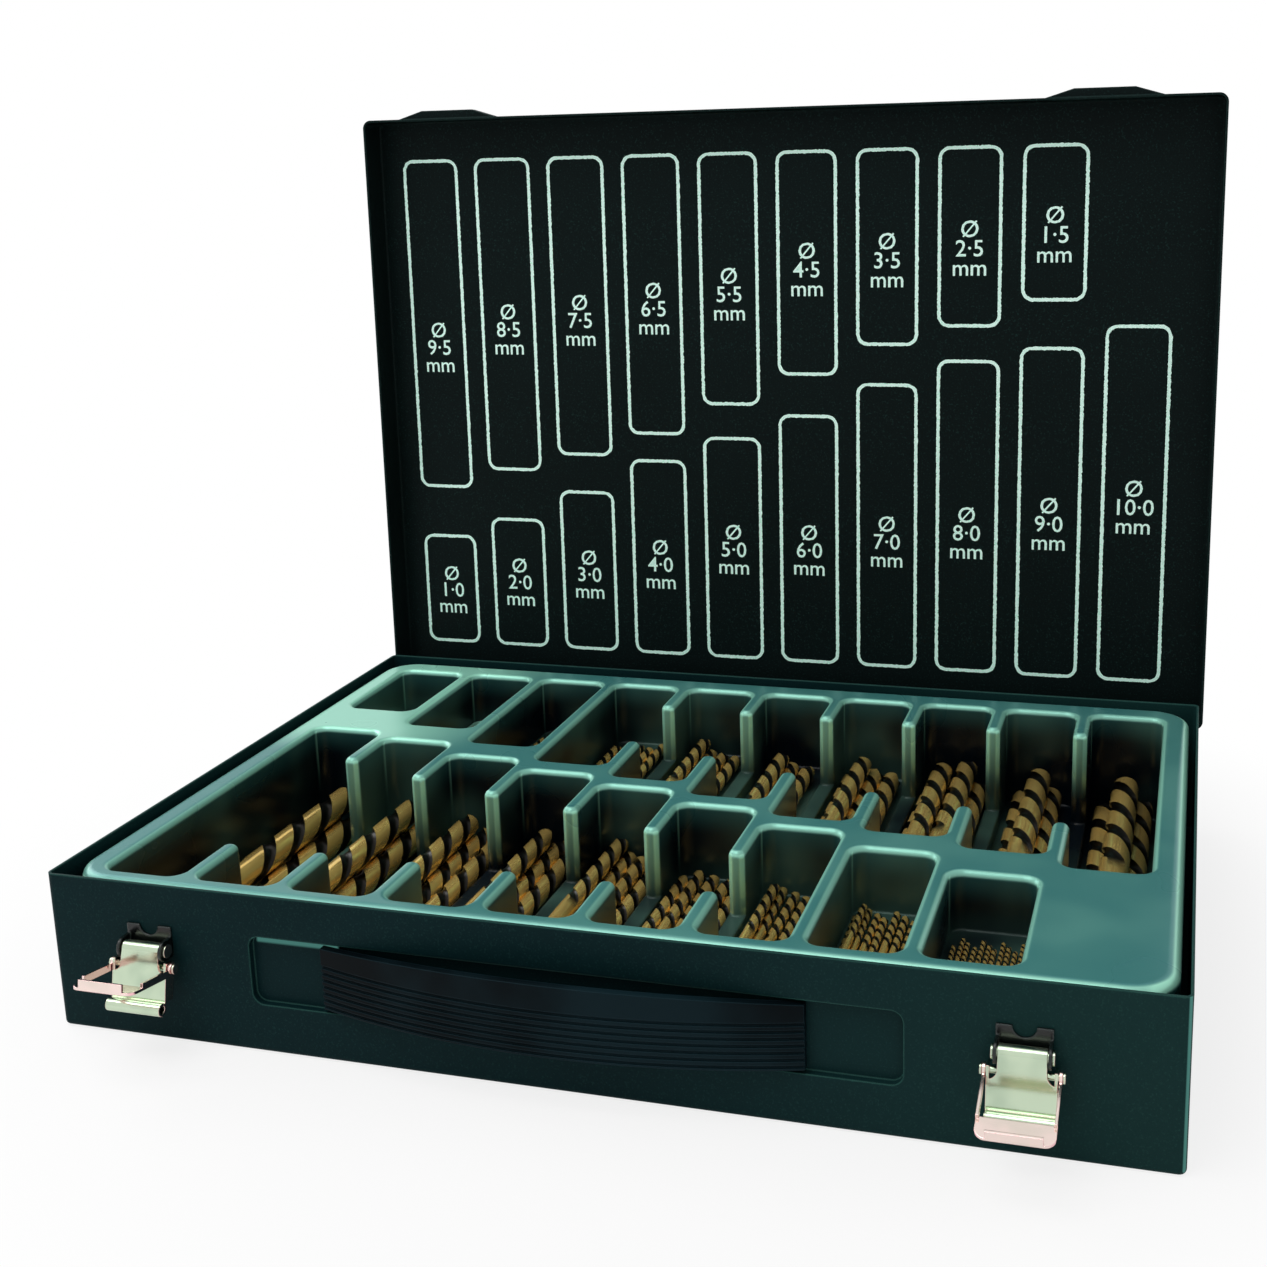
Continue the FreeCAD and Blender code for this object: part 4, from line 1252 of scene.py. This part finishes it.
@dataclass
class Studio:
    """A pale floor under a white sky, with soft lamps."""

    floor_half: float = 6.0
    floor_drop: float = 0.2 * MM
    floor_colour: Rgba = (0.9, 0.9, 0.9, 1.0)
    shade_span: Span = (0.17, 0.3)
    clear_base: float = 0.8
    clear_gain: float = 0.2
    floor_mirrored: float = 0.5
    sky_fill: float = 0.45
    sky_mirrored: float = 0.8
    lamps: tuple[Lamp, ...] = (
        Lamp("high_lamp", (-0.5, -0.5, 1.6), 1.2, 14.0),
        Lamp("side_lamp", (-1.4, 0.5, 0.9), 1.0, 9.0),
    )

    def floor_finish(self) -> bpy.types.Material:
        """White to the eye but for the shadow of the case, which fades away from it."""
        made = bpy.data.materials.new("floor_white")
        made.use_nodes = True
        nodes = Nodes(made.node_tree)
        matt = nodes.make("ShaderNodeBsdfDiffuse", None, {"Color": self.floor_colour})
        glow = nodes.make("ShaderNodeEmission", None, {"Color": WHITE})
        length = {"operation": "LENGTH"}
        away = nodes.make("ShaderNodeVectorMath", length, {0: nodes.place()}, "Value")
        clear = self.clear_base + self.clear_gain * away.between(*self.shade_span)
        white = clear * nodes.ray("Camera") + self.floor_mirrored * nodes.ray("Glossy")
        mixed = nodes.make("ShaderNodeMixShader", None, {0: white, 1: matt, 2: glow})
        nodes.make("ShaderNodeOutputMaterial", None, {"Surface": mixed})
        return made

    def floor(self) -> None:
        """Lay the floor."""
        half = self.floor_half
        mesh = bpy.data.meshes.new("floor")
        corners = [(-half, -half), (half, -half), (half, half), (-half, half)]
        mesh.from_pydata([(x, y, -self.floor_drop) for x, y in corners], [], [(0, 1, 2, 3)])
        floor = bpy.data.objects.new("floor", mesh)
        bpy.context.scene.collection.objects.link(floor)
        floor.data.materials.append(self.floor_finish())

    def sky(self) -> None:
        """White where it is seen or mirrored, softer where it only lights."""
        world = bpy.data.worlds.new("sky")
        world.use_nodes = True
        bpy.context.scene.world = world
        nodes = Nodes(world.node_tree)
        mirrored = self.sky_mirrored * nodes.ray("Glossy")
        direct = nodes.ray("Camera") + mirrored + nodes.ray("Transmission")
        strength = self.sky_fill + (1.0 - self.sky_fill) * direct
        sky = nodes.make("ShaderNodeBackground", None, {"Color": WHITE, "Strength": strength})
        nodes.make("ShaderNodeOutputWorld", None, {"Surface": sky})

    def build(self) -> None:
        """Set the whole studio."""
        self.floor()
        self.sky()
        for lamp in self.lamps:
            lamp.build()
        bpy.context.scene.view_settings.view_transform = "Standard"


def main() -> None:
    """Build the studio and the camera, dress the case, print the lid and lay the bits."""
    logging.basicConfig(level=logging.INFO, format="%(message)s")
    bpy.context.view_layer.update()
    for part in (Studio(), Camera(), Carried(), LidPrint(), Bits()):
        part.build()


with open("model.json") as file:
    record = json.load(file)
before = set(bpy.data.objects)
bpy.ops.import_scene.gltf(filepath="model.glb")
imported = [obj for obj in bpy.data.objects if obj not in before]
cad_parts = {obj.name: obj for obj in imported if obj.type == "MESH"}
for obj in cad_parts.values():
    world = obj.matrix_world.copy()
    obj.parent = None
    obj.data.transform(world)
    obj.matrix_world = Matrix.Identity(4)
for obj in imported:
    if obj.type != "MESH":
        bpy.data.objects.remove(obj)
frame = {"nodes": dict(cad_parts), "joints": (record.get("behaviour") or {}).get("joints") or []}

if __name__ == "__main__":
    main()
